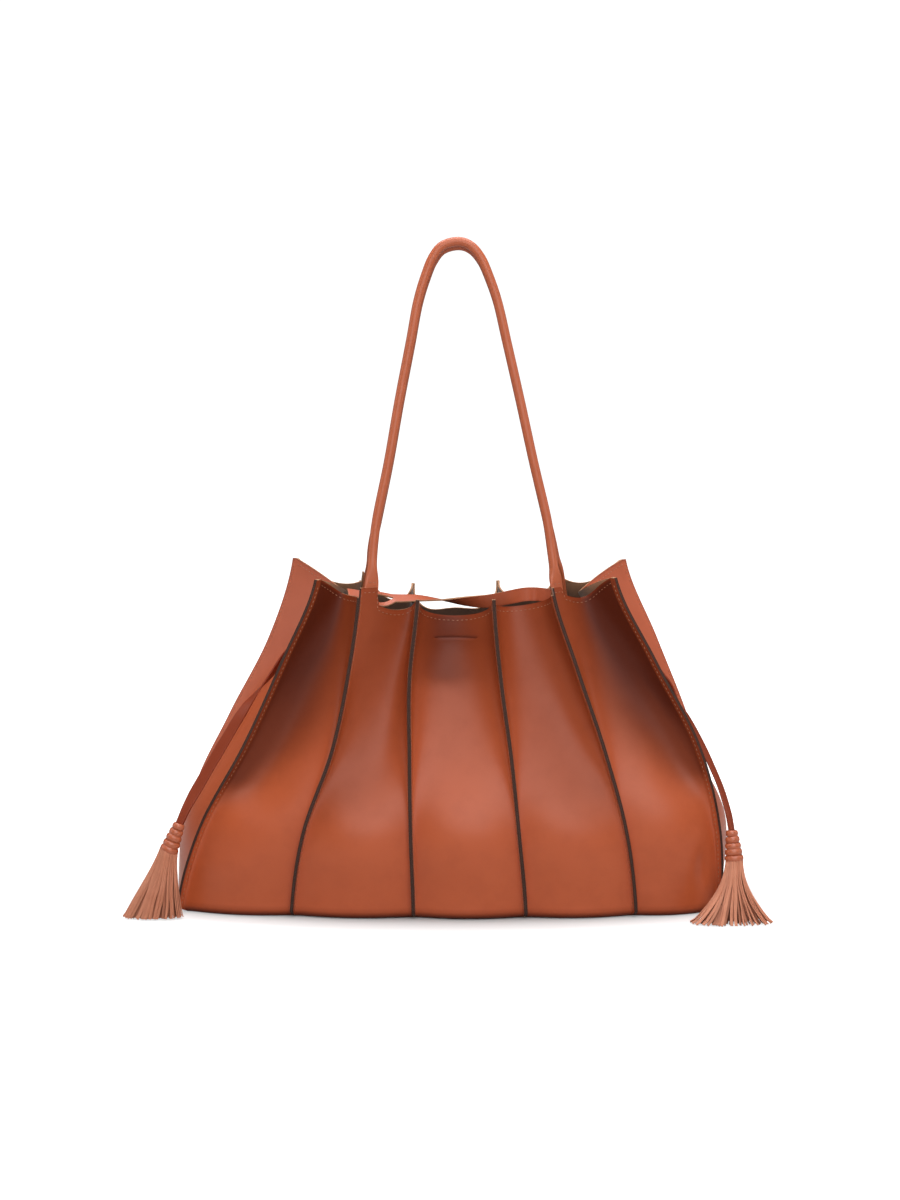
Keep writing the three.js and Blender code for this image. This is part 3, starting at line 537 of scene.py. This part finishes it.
def foldShade(name, u, t, outward, line, height):
    side = -1 if name.startswith("front") else 1
    light = np.array([shading["light"][0], side * shading["light"][1], shading["light"][2]])
    facing = np.sum(outward * light, -1)
    share = np.clip(u, 0, 1)
    inner = smoothstep(4 * share * (1 - share), 0, 0.08)
    dark = shading["most"] * (1 - smoothstep(facing, shading["to"], shading["from"])) * inner
    if not name.startswith("side"):
        dark = dark + shading["valley"] * smoothstep(t, 0.3, 1.0) * inner
    else:
        dark = dark * shading["gusset"]
    if name in paintedFoldShade:
        turn, middles, wides, foot, top, strengths = paintedFoldShade[name]
        rise = smoothstep(t, foot, top)
        reach = (share - mix(middles[0], middles[1], rise)) / mix(wides[0], wides[1], rise)
        reach = np.maximum(reach * -turn, 0) if turn else reach
        strength = mix(strengths[0], strengths[1], rise) * smoothstep(rise, 0, 0.35)
        dark = dark + strength * np.exp(-2.0 * reach ** 2)
    # painted shade where the wall turns under to the floor
    dark = dark + shading["floor"] * (1 - smoothstep(height, 0.0, shading["floorReach"]))
    dark = np.minimum(dark, shading["limit"])
    return np.clip(np.maximum(dark, shading["line"] * line), 0, 1)


def sharesAcross(cuts, fin):
    inner = [0.5 - 0.5 * math.cos(math.pi * k / cuts) for k in range(cuts + 1)]
    return ([-1 + k / fin for k in range(fin)] + inner + [1 + (k + 1) / fin for k in range(fin)])


def gridNormals(points, outward):
    across = np.gradient(points, axis=1)
    rising = np.gradient(points, axis=0)
    normals = unit(np.cross(across, rising))
    return normals * np.sign(np.sum(normals * outward, -1, keepdims=True))


def bodyPanel(name):
    panel = panels[name]
    across = np.array(sharesAcross(bodySize["acrossCuts"], bodySize["finCuts"]))
    turn, up = bodySize["turnCuts"], bodySize["upCuts"]
    heights = [-1 + k / turn for k in range(turn)] + [k / up for k in range(up + 1)]
    if name == "front_panel_3":
        low, high = pressed["rowsFrom"], pressed["rowsTo"]
        heights = [t for t in heights if t < low or t > high] + list(np.linspace(low, high, pressed["rows"]))
        heights.sort()
    u, t = np.meshgrid(across, np.array(heights))
    outward = outwardAt(panel, u, t)
    points = suedePoint(panel, u, t) + outward * bodySize["wall"]
    points, line = leatherGive(name, u, t, points, outward)
    dark = foldShade(name, u, t, gridNormals(points, outward), line, points[..., 2])
    bm = bmesh.new()
    near = bm.verts.layers.float.new("edgeNear")
    onSeam = bm.verts.layers.float.new("onSeam")
    shade = bm.verts.layers.float.new("shade")
    found = formGrid(bm, points)
    for vert, (r, c) in found.items():
        vert[shade] = dark[r, c]
    inner = formGrid(bm, points - outward * bodySize["wall"])
    suedeSide = set(inner)
    found.update(inner)
    for vert, (r, c) in found.items():
        span = bodySize["fin"] * min(across[c] + 1, 2 - across[c], 1)
        vert[near] = min(span, (1 - heights[r]) * bodySize["topRun"])
        vert[onSeam] = 1.0 if across[c] < -0.99 or across[c] > 1.99 else 0.0
    for face in bm.faces:
        face.material_index = 1 if face.verts[0] in suedeSide else 0
    rim = bmesh.ops.bridge_loops(bm, edges=[edge for edge in bm.edges if edge.is_boundary])
    for face in rim["faces"]:
        face.material_index = 2
        face.smooth = False
    bmesh.ops.recalc_face_normals(bm, faces=bm.faces)
    piece = pieceOf(name + "_leather", bm, [bodyLeather, suede, rawEdge], [name])
    piece.data.set_sharp_from_angle(angle=math.radians(50))
    return piece


for name in panels:
    bodyPanel(name)
print("panels made")


# Stitches: a row of small thread arches, joined in one piece.
stitchSize = {"length": 0.0026, "gap": 0.0014, "thick": 0.00062, "down": 0.0042, "finShare": 0.36,
              "stand": 0.00012, "upTo": 0.985, "ahead": 0.0005}


def runOf(points):
    return np.concatenate([[0], np.cumsum(np.linalg.norm(np.diff(points, axis=0), axis=1))])


# Rows of a table at places along a run.
def sampled(places, run, table):
    return np.stack([np.interp(places, run, table[:, n]) for n in range(table.shape[1])], -1)


def stitchRow(bm, points, outward):
    size = stitchSize
    lengths = runOf(points)
    pitch = size["length"] + size["gap"]
    count = int(lengths[-1] / pitch)
    for k in range(count):
        place = (k + 0.5) * pitch + (lengths[-1] - count * pitch) / 2
        here = sampled(place, lengths, points)
        there = sampled(place + size["ahead"], lengths, points)
        out = Vector(sampled(place, lengths, outward)).normalized()
        along = Vector(there - here).normalized()
        side = out.cross(along).normalized()
        out = along.cross(side)
        frameOf = Matrix((along, side, out)).transposed().to_4x4()
        sizeOf = Matrix.Diagonal((size["length"] / 2, size["thick"] / 2, size["thick"] / 2, 1))
        moved = Matrix.Translation(Vector(here) + out * size["stand"])
        bmesh.ops.create_icosphere(bm, subdivisions=1, radius=1, matrix=moved @ frameOf @ sizeOf)


def bodyStitches():
    bm = bmesh.new()
    for name, panel in panels.items():
        t = np.linspace(0.0, stitchSize["upTo"], 160)
        for u in (-stitchSize["finShare"], 1 + stitchSize["finShare"]):
            us = np.full(t.shape, u)
            stitchRow(bm, panelPoint(panel, us, t, bodySize["wall"]), outwardAt(panel, us, t))
        u = np.linspace(0.0, 1.0, 120)
        t = 1 - stitchSize["down"] / (edgeHeight(panel, u) - floorStart)
        stitchRow(bm, panelPoint(panel, u, t, bodySize["wall"]), outwardAt(panel, u, t))
    return pieceOf("body_stitches", bm, [thread])


bodyStitches()
print("stitches made")


# Route through stations as a centripetal curve, and samples of it at even steps.
def curveThrough(points, samples=60):
    pts = [np.asarray(p, float) for p in points]
    pts = [2 * pts[0] - pts[1]] + pts + [2 * pts[-1] - pts[-2]]
    out = []
    for k in range(1, len(pts) - 2):
        p0, p1, p2, p3 = pts[k - 1:k + 3]
        d0, d1, d2 = (max(np.linalg.norm(b - a), 1e-9) ** 0.5 for a, b in ((p0, p1), (p1, p2), (p2, p3)))
        t1 = ((p1 - p0) / d0 - (p2 - p0) / (d0 + d1) + (p2 - p1) / d1) * d1
        t2 = ((p2 - p1) / d1 - (p3 - p1) / (d1 + d2) + (p3 - p2) / d2) * d1
        for n in range(samples):
            w = n / samples
            out.append(p1 + t1 * w + (-3 * p1 + 3 * p2 - 2 * t1 - t2) * w ** 2
                       + (2 * p1 - 2 * p2 + t1 + t2) * w ** 3)
    out.append(pts[-2])
    return np.array(out)


def evenSteps(route, shares):
    step = 0.0006
    lengths = runOf(route)
    where = np.asarray(shares) * lengths[-1]
    index = np.interp(where, lengths, np.arange(len(route)))
    along = unit(sampled(where + step, lengths, route) - sampled(where - step, lengths, route))
    return sampled(where, lengths, route), along, index / (len(route) - 1), lengths[-1]


# Squareness of a section: a circle or a flat strip with rounded edges.
square = {"round": 2.0, "flat": 5.0, "strip": 6.0}


# Closed body through rounded sections: middle, wide and out directions, width, height, squareness.
def sectionBody(bm, middles, wides, outs, widths, heights, squareness, sides):
    angle = 2 * math.pi * np.arange(sides + 1) / sides
    c, s = np.cos(angle), np.sin(angle)
    power = 2 / np.broadcast_to(squareness, len(middles))[:, None]
    a = np.sign(c) * np.abs(c) ** power * np.broadcast_to(widths, len(middles))[:, None] / 2
    b = np.sign(s) * np.abs(s) ** power * np.broadcast_to(heights, len(middles))[:, None] / 2
    points = middles[:, None, :] + wides[:, None, :] * a[..., None] + outs[:, None, :] * b[..., None]
    formGrid(bm, points, closed=True)
    loose = [edge for edge in bm.edges if edge.is_boundary]
    bmesh.ops.holes_fill(bm, edges=loose, sides=0)
    bmesh.ops.recalc_face_normals(bm, faces=bm.faces)


handleSize = {
    "thick": 0.009, "rolled": 0.0082, "rise": 0.297, "apexShift": -0.05,
    "tabWidth": 0.013, "tabThick": 0.0022, "tabLength": 0.034, "tabOff": 0.00085, "gather": 0.022,
    "stitchUp": 0.0035, "stitchSpan": 0.84, "sides": 28, "steps": 220,
}
# height in rises, reach to the left and to the right in half widths
handleShape = [(0.1, 0.98, 0.945), (0.19, 0.93, 0.885), (0.36, 0.804, 0.74), (0.54, 0.689, 0.596),
               (0.715, 0.566, 0.45), (0.83, 0.488, 0.352), (0.9, 0.412, 0.265), (0.955, 0.33, 0.175),
               (0.988, 0.23, 0.07)]
# feet as panel and place across, side, extra rise, reach of the loop
handleRows = {
    "handle_front": ((("front_panel_2", 0.1), ("front_panel_5", 0.082)), -1, 0.0, 1.018),
    "handle_back": ((("back_panel_2", 0.9), ("back_panel_5", 0.9)), 1, 0.003, 0.978),
}


def footAt(name, u, t):
    panel = panels[name]
    step = 0.02
    wide = unit(suedePoint(panel, u + step, t) - suedePoint(panel, u - step, t))
    offset = -(handleSize["tabOff"] + handleSize["tabThick"] / 2)
    return panelPoint(panel, u, t, offset), wide, outwardAt(panel, u, t)


def handlePiece(name):
    feet, side, extra, loopReach = handleRows[name]
    low = 1 - handleSize["tabLength"] / bodySize["height"]
    near, far = ([footAt(panel, u, t) for t in (low, (1 + low) / 2, 1)] for panel, u in feet)
    footLine = (near[2][0] + far[2][0]) / 2
    half = abs(far[2][0][0] - near[2][0][0]) / 2
    apexDepth = side * (handleSize["thick"] + bodySize["clearance"]) / 2

    def place(height, reach):
        draw = mix(1, loopReach, smoothstep(height, 0.05, 0.2))
        return np.array([footLine[0] + reach * draw * half, mix(footLine[1], apexDepth, height ** 0.9),
                         footLine[2] + height * (handleSize["rise"] + extra)])
    points = [place(h, -left) for h, left, right in handleShape] + [place(1, handleSize["apexShift"])]
    points += [place(h, right) for h, left, right in reversed(handleShape)]
    route = curveThrough([foot[0] for foot in near] + points + [foot[0] for foot in reversed(far)])
    steps = handleSize["steps"]
    shares = np.linspace(0, 1, steps + 1)
    middles, along, _, length = evenSteps(route, shares)
    reach = np.minimum(shares, 1 - shares) * length
    rolled = smoothstep(reach, handleSize["tabLength"], handleSize["tabLength"] + handleSize["gather"])
    footOut = np.where((shares < 0.5)[:, None], near[2][2], far[2][2])
    out = mix(footOut, np.array([0, side, 0.0]), rolled[:, None])
    out = squareTo(out, along)
    wide = unit(np.cross(along, out))
    widths = mix(handleSize["tabWidth"], handleSize["rolled"], rolled)
    heights = mix(handleSize["tabThick"], handleSize["rolled"], rolled)
    bm = bmesh.new()
    squareness = mix(square["flat"], square["round"], rolled)
    sectionBody(bm, middles, wide, out, widths, heights, squareness, handleSize["sides"])
    pieceOf(name + "_roll", bm, [handleLeather], [name])
    # a short row of stitches across each foot
    for last in (False, True):
        k = int(np.argmin(np.abs(shares * length - handleSize["tabLength"] - handleSize["stitchUp"])))
        k = steps - k if last else k
        span = np.linspace(-0.5, 0.5, 12)[:, None] * handleSize["stitchSpan"] * widths[k]
        across = middles[k] + out[k] * (heights[k] / 2) + wide[k] * span
        stitchRow(handleStitches, across, np.repeat(out[k][None, :], 12, axis=0))


handleLook = dict(leatherLook, base=(0.45, 0.105, 0.042), light=(0.50, 0.14, 0.065), grain=0.00003)
handleLeather = leatherFinish("rolled leather", handleLook, edgeDark=False)
handleStitches = bmesh.new()
for name in handleRows:
    handlePiece(name)
pieceOf("handle_stitches", handleStitches, [thread])
print("handles made")


strapSize = {
    "width": 0.012, "thick": 0.0016, "slit": 0.029, "cut": 0.0003, "opening": 0.005, "sag": 0.0042,
    "margin": 0.0144, "round": 0.0003, "steps": 150, "cuts": 7,
}
# where it is held: place across front_panel_4, gaps behind the leather
strapSeat = [(0.88, 2), (0.81, 2), (0.74, 2.5), (0.66, 3), (0.56, 5)]
# the free stretch: across and out in half widths and half mouths, height, lean in degrees
strapShape = [(0.143, -0.33, 0.971, -12), (0.06, -0.2, 0.966, -42), (-0.025, -0.14, 0.9685, -80),
              (-0.11, -0.2, 0.976, -106), (-0.2, -0.32, 0.979, -116), (-0.29, -0.5, 0.992, -116),
              (-0.372, -0.58, 1.006, -112)]


def closingStrap():
    panel = panels["front_panel_4"]
    tall = bodySize["height"]
    middles, leans = [], []
    for u, gaps in strapSeat:
        t = (tall - strapSize["width"] / 2 - floorStart) / (edgeHeight(panel, u) - floorStart)
        point = panelPoint(panel, u, t, -(gaps * bodySize["clearance"] + strapSize["thick"] / 2))
        middles.append(np.array([point[0], point[1], tall]))
        leans.append(0)
    for across, out, height, lean in strapShape:
        middles.append(np.array([across * bodySize["width"] / 2, out * bodySize["mouth"] / 2, height * tall]))
        leans.append(lean)
    route = curveThrough(middles)
    steps = strapSize["steps"]
    points, along, index, length = evenSteps(route, np.linspace(0, 1, steps + 1))
    lean = np.radians(atLevel(leans, index))
    wide = squareTo(np.array([0, 0, 1.0]), along)
    wide = wide * np.cos(lean)[:, None] + np.cross(along, wide) * np.sin(lean)[:, None]
    run = np.linspace(0, length, steps + 1)
    slitEnd = length - strapSize["margin"]
    slitStart = slitEnd - strapSize["slit"]
    gape = strapSize["opening"] / 2 * np.sin(math.pi * np.clip((run - slitStart) / strapSize["slit"], 0, 1))
    half = strapSize["width"] / 2
    cuts, cut = strapSize["cuts"], strapSize["cut"]
    shares = np.linspace(0, 1, cuts)
    lower = [mix(-half - gape, -cut - 1.4 * gape, s) for s in shares]
    upper = [mix(cut + 0.6 * gape, half + gape / 2, s) for s in shares]
    offsets = np.stack(lower + upper, -1)
    grid = points[:, None, :] + wide[:, None, :] * offsets[..., None]
    # the nearer branch beside the slit hangs a little
    grid[:, cuts:, 2] -= (gape / (strapSize["opening"] / 2) * strapSize["sag"])[:, None]
    bm = bmesh.new()
    near = bm.verts.layers.float.new("edgeNear")
    bm.verts.layers.float.new("onSeam")
    found = formGrid(bm, grid)
    split = [face for face in bm.faces
             if {found[v][1] for v in face.verts} == {cuts - 1, cuts}
             and all(slitStart < run[found[v][0]] < slitEnd for v in face.verts)]
    for vert, (r, c) in found.items():
        vert[near] = 0.001 + 0.004 * min(c, 2 * cuts - 1 - c) / (cuts - 1)
    bmesh.ops.delete(bm, geom=split, context="FACES")
    bmesh.ops.recalc_face_normals(bm, faces=bm.faces)
    piece = pieceOf("closing_strap_leather", bm, [strapLeather, suede, rawEdge],
                    ["closing_strap"])
    wall = piece.modifiers.new("wall", "SOLIDIFY")
    wall.thickness = strapSize["thick"]
    wall.offset = 0
    wall.use_even_offset = True
    wall.material_offset = 0
    wall.material_offset_rim = 2
    rim = piece.modifiers.new("rounded edge", "BEVEL")
    rim.width = strapSize["round"]
    rim.segments = 2
    rim.limit_method = "ANGLE"
    rim.angle_limit = math.radians(60)
    return piece


strapLook = dict(leatherLook, base=(0.42, 0.085, 0.032), light=(0.48, 0.12, 0.055), roughness=0.4)
strapLeather = leatherFinish("strap leather", strapLook)
closingStrap()
print("strap made")


tieSize = {"width": 0.010, "thick": 0.0018, "grip": 0.024, "stations": 9, "sides": 20}
wrapSize = {"top": 0.0095, "bottom": 0.017, "length": 0.027, "rings": 5, "sides": 40, "laceSides": 14,
            "laceDeep": 0.32, "laceTall": 0.54, "tilts": (4, -3, 5, -4, 3)}
# the layers' reach and count of strips; neck is the radius inside the wrap
fringeSize = {"width": 0.0027, "thick": 0.0009, "layers": ((1.0, 34), (0.82, 30), (0.6, 24), (0.35, 14)),
              "steps": 14, "sides": 8, "neck": 0.0068, "inset": 0.0012, "tuck": 0.0015, "above": 0.0017,
              "toneAndShade": 0.22, "toneAndShadeLimit": 0.8}
# places are shares of half the width, half the depth and the height; spread is in metres
ties = {
    "left": {"panel": "side_gusset_left", "seat": 0.9, "grip": 0.93, "lean": -20,
             "drop": [(-0.59, -0.48, 0.82), (-0.633, -0.51, 0.77), (-0.69, -0.55, 0.71),
                      (-0.755, -0.607, 0.636), (-0.825, -0.674, 0.538), (-0.934, -0.78, 0.378)],
             "wrapAt": (-0.98, -0.84, 0.297), "wrapFoot": (-1.025, -0.86, 0.2),
             "fringeAt": (-1.078, -0.93), "spread": (0.027, 0.010), "flare": 1.3},
    "right": {"panel": "side_gusset_right", "seat": 0.1, "grip": 0.87, "lean": 60,
              "drop": [(0.725, -0.56, 0.79), (0.779, -0.605, 0.745), (0.828, -0.585, 0.67),
                       (0.89, -0.56, 0.58), (0.934, -0.58, 0.5), (0.973, -0.67, 0.43), (0.998, -0.76, 0.36)],
              "wrapAt": (1.02, -0.86, 0.277), "wrapFoot": (1.03, -0.91, 0.18),
              "fringeAt": (1.012, -1.15), "spread": (0.037, 0.013), "flare": 1.9},
}


def fromShares(shares):
    x, y, z = shares
    return np.array([x * bodySize["width"] / 2, y * bodySize["depth"] / 2, z * bodySize["height"]])


def tiePiece(side):
    tie = ties[side]
    panel = panels[tie["panel"]]
    start = fromShares(tie["wrapAt"])
    axis = unit(fromShares(tie["wrapFoot"]) - start)
    lift = bodySize["wall"] + 2 * bodySize["clearance"] + tieSize["thick"] / 2
    rows = []
    for t in (tie["grip"], tie["grip"] - tieSize["grip"] / bodySize["height"]):
        wide = unit(suedePoint(panel, tie["seat"] + 0.02, t) - suedePoint(panel, tie["seat"] - 0.02, t))
        rows.append((panelPoint(panel, tie["seat"], t, lift), wide, outwardAt(panel, tie["seat"], t)))
    points = [fromShares(row) for row in tie["drop"]]
    points += [start - axis * tieSize["width"], start + axis * 0.001]
    shares = np.linspace(0, 1, tieSize["stations"])
    middles, along = evenSteps(curveThrough(points), shares)[:2]
    hang = np.array([math.cos(math.radians(tie["lean"])), math.sin(math.radians(tie["lean"])), 0])
    for k, share in enumerate(shares):
        wide = mix(rows[1][1], hang, smoothstep(share, 0, 0.5))
        wide = squareTo(wide, along[k])
        rows.append((middles[k], wide, unit(np.cross(wide, along[k]))))
    table = np.array([np.concatenate(row) for row in rows])
    # the sections may come in with opposite facing between seat and drop
    for k in range(1, len(table)):
        if np.dot(table[k, 6:9], table[k - 1, 6:9]) < 0:
            table[k, 6:9] *= -1
    fine = curveThrough(table, samples=10)
    count = len(fine)
    share = np.arange(count) / (count - 1)
    gather = smoothstep(share, 0.86, 1.0)
    ripple = 1 + 0.05 * np.sin(share * 260) * smoothstep(share, 0.55, 0.95)
    widths = tieSize["width"] * (1 - 0.32 * gather) * (1 + 0.02 * np.sin(share * 40))
    thick = tieSize["thick"] * (1 + 1.2 * gather) * ripple
    bm = bmesh.new()
    sectionBody(bm, fine[:, 0:3], unit(fine[:, 3:6]), unit(fine[:, 6:9]), widths, thick,
                square["flat"], tieSize["sides"])
    return pieceOf("tie_%s_lace" % side, bm, [tieLeather], ["tie_" + side])


def wrapPiece(side):
    tie = ties[side]
    start = fromShares(tie["wrapAt"])
    axis = Vector(unit(fromShares(tie["wrapFoot"]) - start))
    pitch = wrapSize["length"] / wrapSize["rings"]
    bm = bmesh.new()
    for k in range(wrapSize["rings"]):
        along = (k + 0.5) / wrapSize["rings"]
        radius = mix(wrapSize["top"], wrapSize["bottom"], along ** 0.75) / 2
        deep, tall = pitch * wrapSize["laceDeep"], pitch * wrapSize["laceTall"]
        section = (Matrix.Translation((radius - deep, 0, 0)) @ Matrix.Rotation(math.pi / 2, 4, "X")
                   @ Matrix.Diagonal((deep, tall, 1, 1)))
        loop = bmesh.ops.create_circle(bm, cap_ends=False, segments=wrapSize["laceSides"], radius=1,
                                       matrix=section)
        edges = list({edge for vert in loop["verts"] for edge in vert.link_edges})
        bmesh.ops.spin(bm, geom=loop["verts"] + edges, cent=(0, 0, 0), axis=(0, 0, 1), angle=2 * math.pi,
                       steps=wrapSize["sides"], use_merge=True)
        verts = list({v for face in bm.faces if not face.tag for v in face.verts})
        for face in bm.faces:
            face.tag = True
        tilt = Matrix.Rotation(math.radians(wrapSize["tilts"][k]), 4, (1, 0.4 * k, 0))
        bmesh.ops.transform(bm, matrix=Matrix.Translation((0, 0, (k + 0.5) * pitch)) @ tilt, verts=verts)
    bmesh.ops.remove_doubles(bm, verts=bm.verts, dist=1e-6)
    # a core closes the middle of the turns
    bmesh.ops.create_cone(bm, cap_ends=True, segments=24, radius1=wrapSize["top"] * 0.36,
                          radius2=wrapSize["bottom"] * 0.42, depth=wrapSize["length"] * 0.98,
                          matrix=Matrix.Translation((0, 0, wrapSize["length"] / 2)))
    turn = Vector((0, 0, 1)).rotation_difference(axis).to_matrix().to_4x4()
    bmesh.ops.transform(bm, matrix=Matrix.Translation(Vector(start)) @ turn, verts=bm.verts)
    bmesh.ops.recalc_face_normals(bm, faces=bm.faces)
    name = "tassel_wrap_" + side
    return pieceOf(name + "_turns", bm, [wrapLeather], [name])


def fringePiece(side):
    tie = ties[side]
    start = fromShares(tie["wrapAt"])
    foot = fromShares(tie["wrapFoot"])
    axis = unit(foot - start)
    head = start + axis * (wrapSize["length"] - fringeSize["tuck"])
    ground = fromShares((*tie["fringeAt"], 0.0))
    neck, inset = fringeSize["neck"], fringeSize["inset"]
    rng = np.random.default_rng(7 if side == "left" else 11)
    steps = fringeSize["steps"]
    bm = bmesh.new()
    bm.verts.layers.float.new("shade")
    for layer, (reach, count) in enumerate(fringeSize["layers"]):
        for k in range(count):
            angle = 2 * math.pi * (k + rng.uniform(-0.25, 0.25) + 0.5 * (layer % 2)) / count
            lean = rng.uniform(0.92, 1.04)
            wander = rng.uniform(-0.05, 0.05)
            short = rng.uniform(0.0, 0.02)
            width = fringeSize["width"] * rng.uniform(0.85, 1.2)
            share = np.linspace(0, 1 - short, steps + 1)
            flare = share ** tie["flare"]
            rx, ry = (mix(neck * reach, (wide - inset) * reach * lean, flare) for wide in tie["spread"])
            turn = angle + wander * share + 0.03 * np.sin(share * 7 + k)
            middles = mix(head, ground, share[:, None])
            offset = np.stack([rx * np.cos(turn), -ry * np.sin(turn)], -1)
            middles[:, :2] += offset
            # the strips leave the wrap square to its axis and end above the floor
            middles[:, 2] -= (offset[:, 0] * axis[0] + offset[:, 1] * axis[1]) / axis[2] * (1 - share)
            middles[:, 2] = np.maximum(middles[:, 2], fringeSize["above"])
            along = unit(np.gradient(middles, axis=0))
            out = unit(np.stack([np.cos(turn), -np.sin(turn) * 0.9, np.full(steps + 1, 0.1)], -1))
            roll = 0.45 + rng.uniform(-0.25, 0.35) + rng.uniform(-0.6, 0.5) * share
            out = squareTo(out, along)
            wide = np.cross(along, out)
            twisted = wide * np.cos(roll)[:, None] + out * np.sin(roll)[:, None]
            out = np.cross(twisted, along)
            part = bmesh.new()
            toneAndShade = part.verts.layers.float.new("shade")
            sectionBody(part, middles, twisted, out, width, fringeSize["thick"], square["strip"],
                        fringeSize["sides"])
            # each strip gets a random tone, and the inner layers painted shade, darker layer by layer
            dark = rng.uniform(0.0, fringeSize["toneAndShade"]) + fringeSize["toneAndShade"] * layer
            for vert in part.verts:
                vert[toneAndShade] = min(dark, fringeSize["toneAndShadeLimit"])
            mesh = meshOf("strip", part)
            bm.from_mesh(mesh)
            bpy.data.meshes.remove(mesh)
    name = "tassel_fringe_" + side
    return pieceOf(name + "_strips", bm, [fringeLeather], [name], smooth=False)


tieLook = dict(leatherLook, base=(0.22, 0.032, 0.009), light=(0.27, 0.045, 0.016), roughness=0.5, coat=0.2)
wrapLook = dict(leatherLook, base=(0.44, 0.10, 0.036), light=(0.50, 0.14, 0.06), roughness=0.36, sheen=0.5)
fringeLook = dict(leatherLook, deep=(0.36, 0.10, 0.045), base=(0.58, 0.225, 0.13), light=(0.68, 0.31, 0.20),
                  roughness=0.6, coat=0.0, mottle=0.7)
tieLeather = leatherFinish("tie leather", tieLook, edgeDark=False)
wrapLeather = leatherFinish("wound lace", wrapLook, edgeDark=False)
fringeLeather = leatherFinish("cut leather strips", fringeLook, edgeDark=False)
for side in ties:
    tiePiece(side)
    wrapPiece(side)
    fringePiece(side)
print("ties and tassels made")


# The flat base keeps its CAD shape and takes a leather finish.
baseLook = dict(leatherLook, base=(0.30, 0.075, 0.03), roughness=0.6, coat=0.0)
baseLeather = leatherFinish("base leather", baseLook, edgeDark=False)
for thing in bpy.context.scene.objects:
    if thing.name.startswith("base_panel") and thing.type == "MESH":
        thing.data.materials.clear()
        thing.data.materials.append(baseLeather)


# The floor glows white away from the bag, a painted light that ends the shadow round the bag; squash makes
# the reach of its shadow an oval.
stageLook = {"floor": (0.5, 0.5, 0.5), "bounce": (0.5, 0.49, 0.48), "size": 14.0, "world": 0.05,
             "backdrop": 1.1, "squash": (0.42, 1.0, 1.0), "glowFrom": 0.082, "glowTo": 0.17, "glow": 1.1}


def stage():
    bm = bmesh.new()
    bmesh.ops.create_grid(bm, x_segments=1, y_segments=1, size=stageLook["size"] / 2)
    finish = Finish("pale floor")
    where = finish.objectPlace()
    oval = finish.add("ShaderNodeVectorMath", {"operation": "MULTIPLY"}, {0: where, 1: stageLook["squash"]})
    reach = finish.add("ShaderNodeVectorMath", {"operation": "LENGTH"}, {0: oval}, output=1)
    away = reach.span(stageLook["glowFrom"], stageLook["glowTo"])
    glow = finish.mixColor(away, (0.0, 0.0, 0.0), (1.0, 1.0, 1.0))
    shining = {"Emission Color": glow, "Emission Strength": stageLook["glow"]}
    finish.close(stageLook["floor"], 0.8, None, shining)
    # the floor throws back less light than it shows, as a floor with flags round it does
    plain = finish.add("ShaderNodeBsdfDiffuse", {}, {"Color": stageLook["bounce"]})
    rays = finish.add("ShaderNodeLightPath")
    shown = next(node for node in finish.nodes if node.type == "BSDF_PRINCIPLED")
    both = finish.add("ShaderNodeMixShader", {}, {0: rays, 1: plain, 2: Value(finish, shown.outputs[0])})
    end = next(node for node in finish.nodes if node.type == "OUTPUT_MATERIAL")
    finish.links.new(both.socket, end.inputs["Surface"])
    addObject("pale_floor", meshOf("pale_floor", bm, [finish.material]))
    world = bpy.data.worlds.new("soft surround")
    world.use_nodes = True
    nodes, links = world.node_tree.nodes, world.node_tree.links
    lit, seen = nodes["Background"], nodes.new("ShaderNodeBackground")
    for node, strength in ((lit, stageLook["world"]), (seen, stageLook["backdrop"])):
        node.inputs["Color"].default_value = (1, 1, 1, 1)
        node.inputs["Strength"].default_value = strength
    rays, choice = nodes.new("ShaderNodeLightPath"), nodes.new("ShaderNodeMixShader")
    for k, socket in enumerate((rays.outputs["Is Camera Ray"], lit.outputs[0], seen.outputs[0])):
        links.new(socket, choice.inputs[k])
    links.new(choice.outputs[0], nodes["World Output"].inputs["Surface"])
    bpy.context.scene.view_settings.view_transform = "Standard"
    bpy.context.scene.world = world


# name: place, aim, size, power
lights = {
    "left softbox": ((-2.0, -0.1, 0.85), (0, 0, 0.12), (1.3, 1.3), 9),
    "right softbox": ((2.0, -0.1, 0.85), (0, 0, 0.12), (1.3, 1.3), 7),
    "overhead softbox": ((0.2, -1.15, 1.9), (0, 0, 0.1), (2.0, 1.4), 27),
    "top softbox": ((0.0, 0.4, 2.0), (0, 0.05, 0), (2.0, 1.2), 40),
    "front fill": ((0.3, -2.5, 1.1), (0, 0, 0.05), (2.0, 1.0), 24),
}


def addAimed(name, data, place, aim):
    holder = addObject(name, data)
    holder.location = place
    holder.rotation_euler = (Vector(aim) - Vector(place)).to_track_quat("-Z", "Y").to_euler()
    return holder


def addLights():
    for name, (place, aim, size, power) in lights.items():
        lamp = bpy.data.lights.new(name, "AREA")
        lamp.shape = "RECTANGLE"
        lamp.size, lamp.size_y = size
        lamp.energy = power
        addAimed(name, lamp, place, aim)


def addCamera():
    lens = bpy.data.cameras.new("photo view")
    lens.lens, lens.sensor_width = cameraView["lens"], cameraView["sensor"]
    bpy.context.scene.camera = addAimed("photo view", lens, cameraView["place"], cameraView["aim"])


stage()
addLights()
addCamera()
print("stage, lights and camera set")
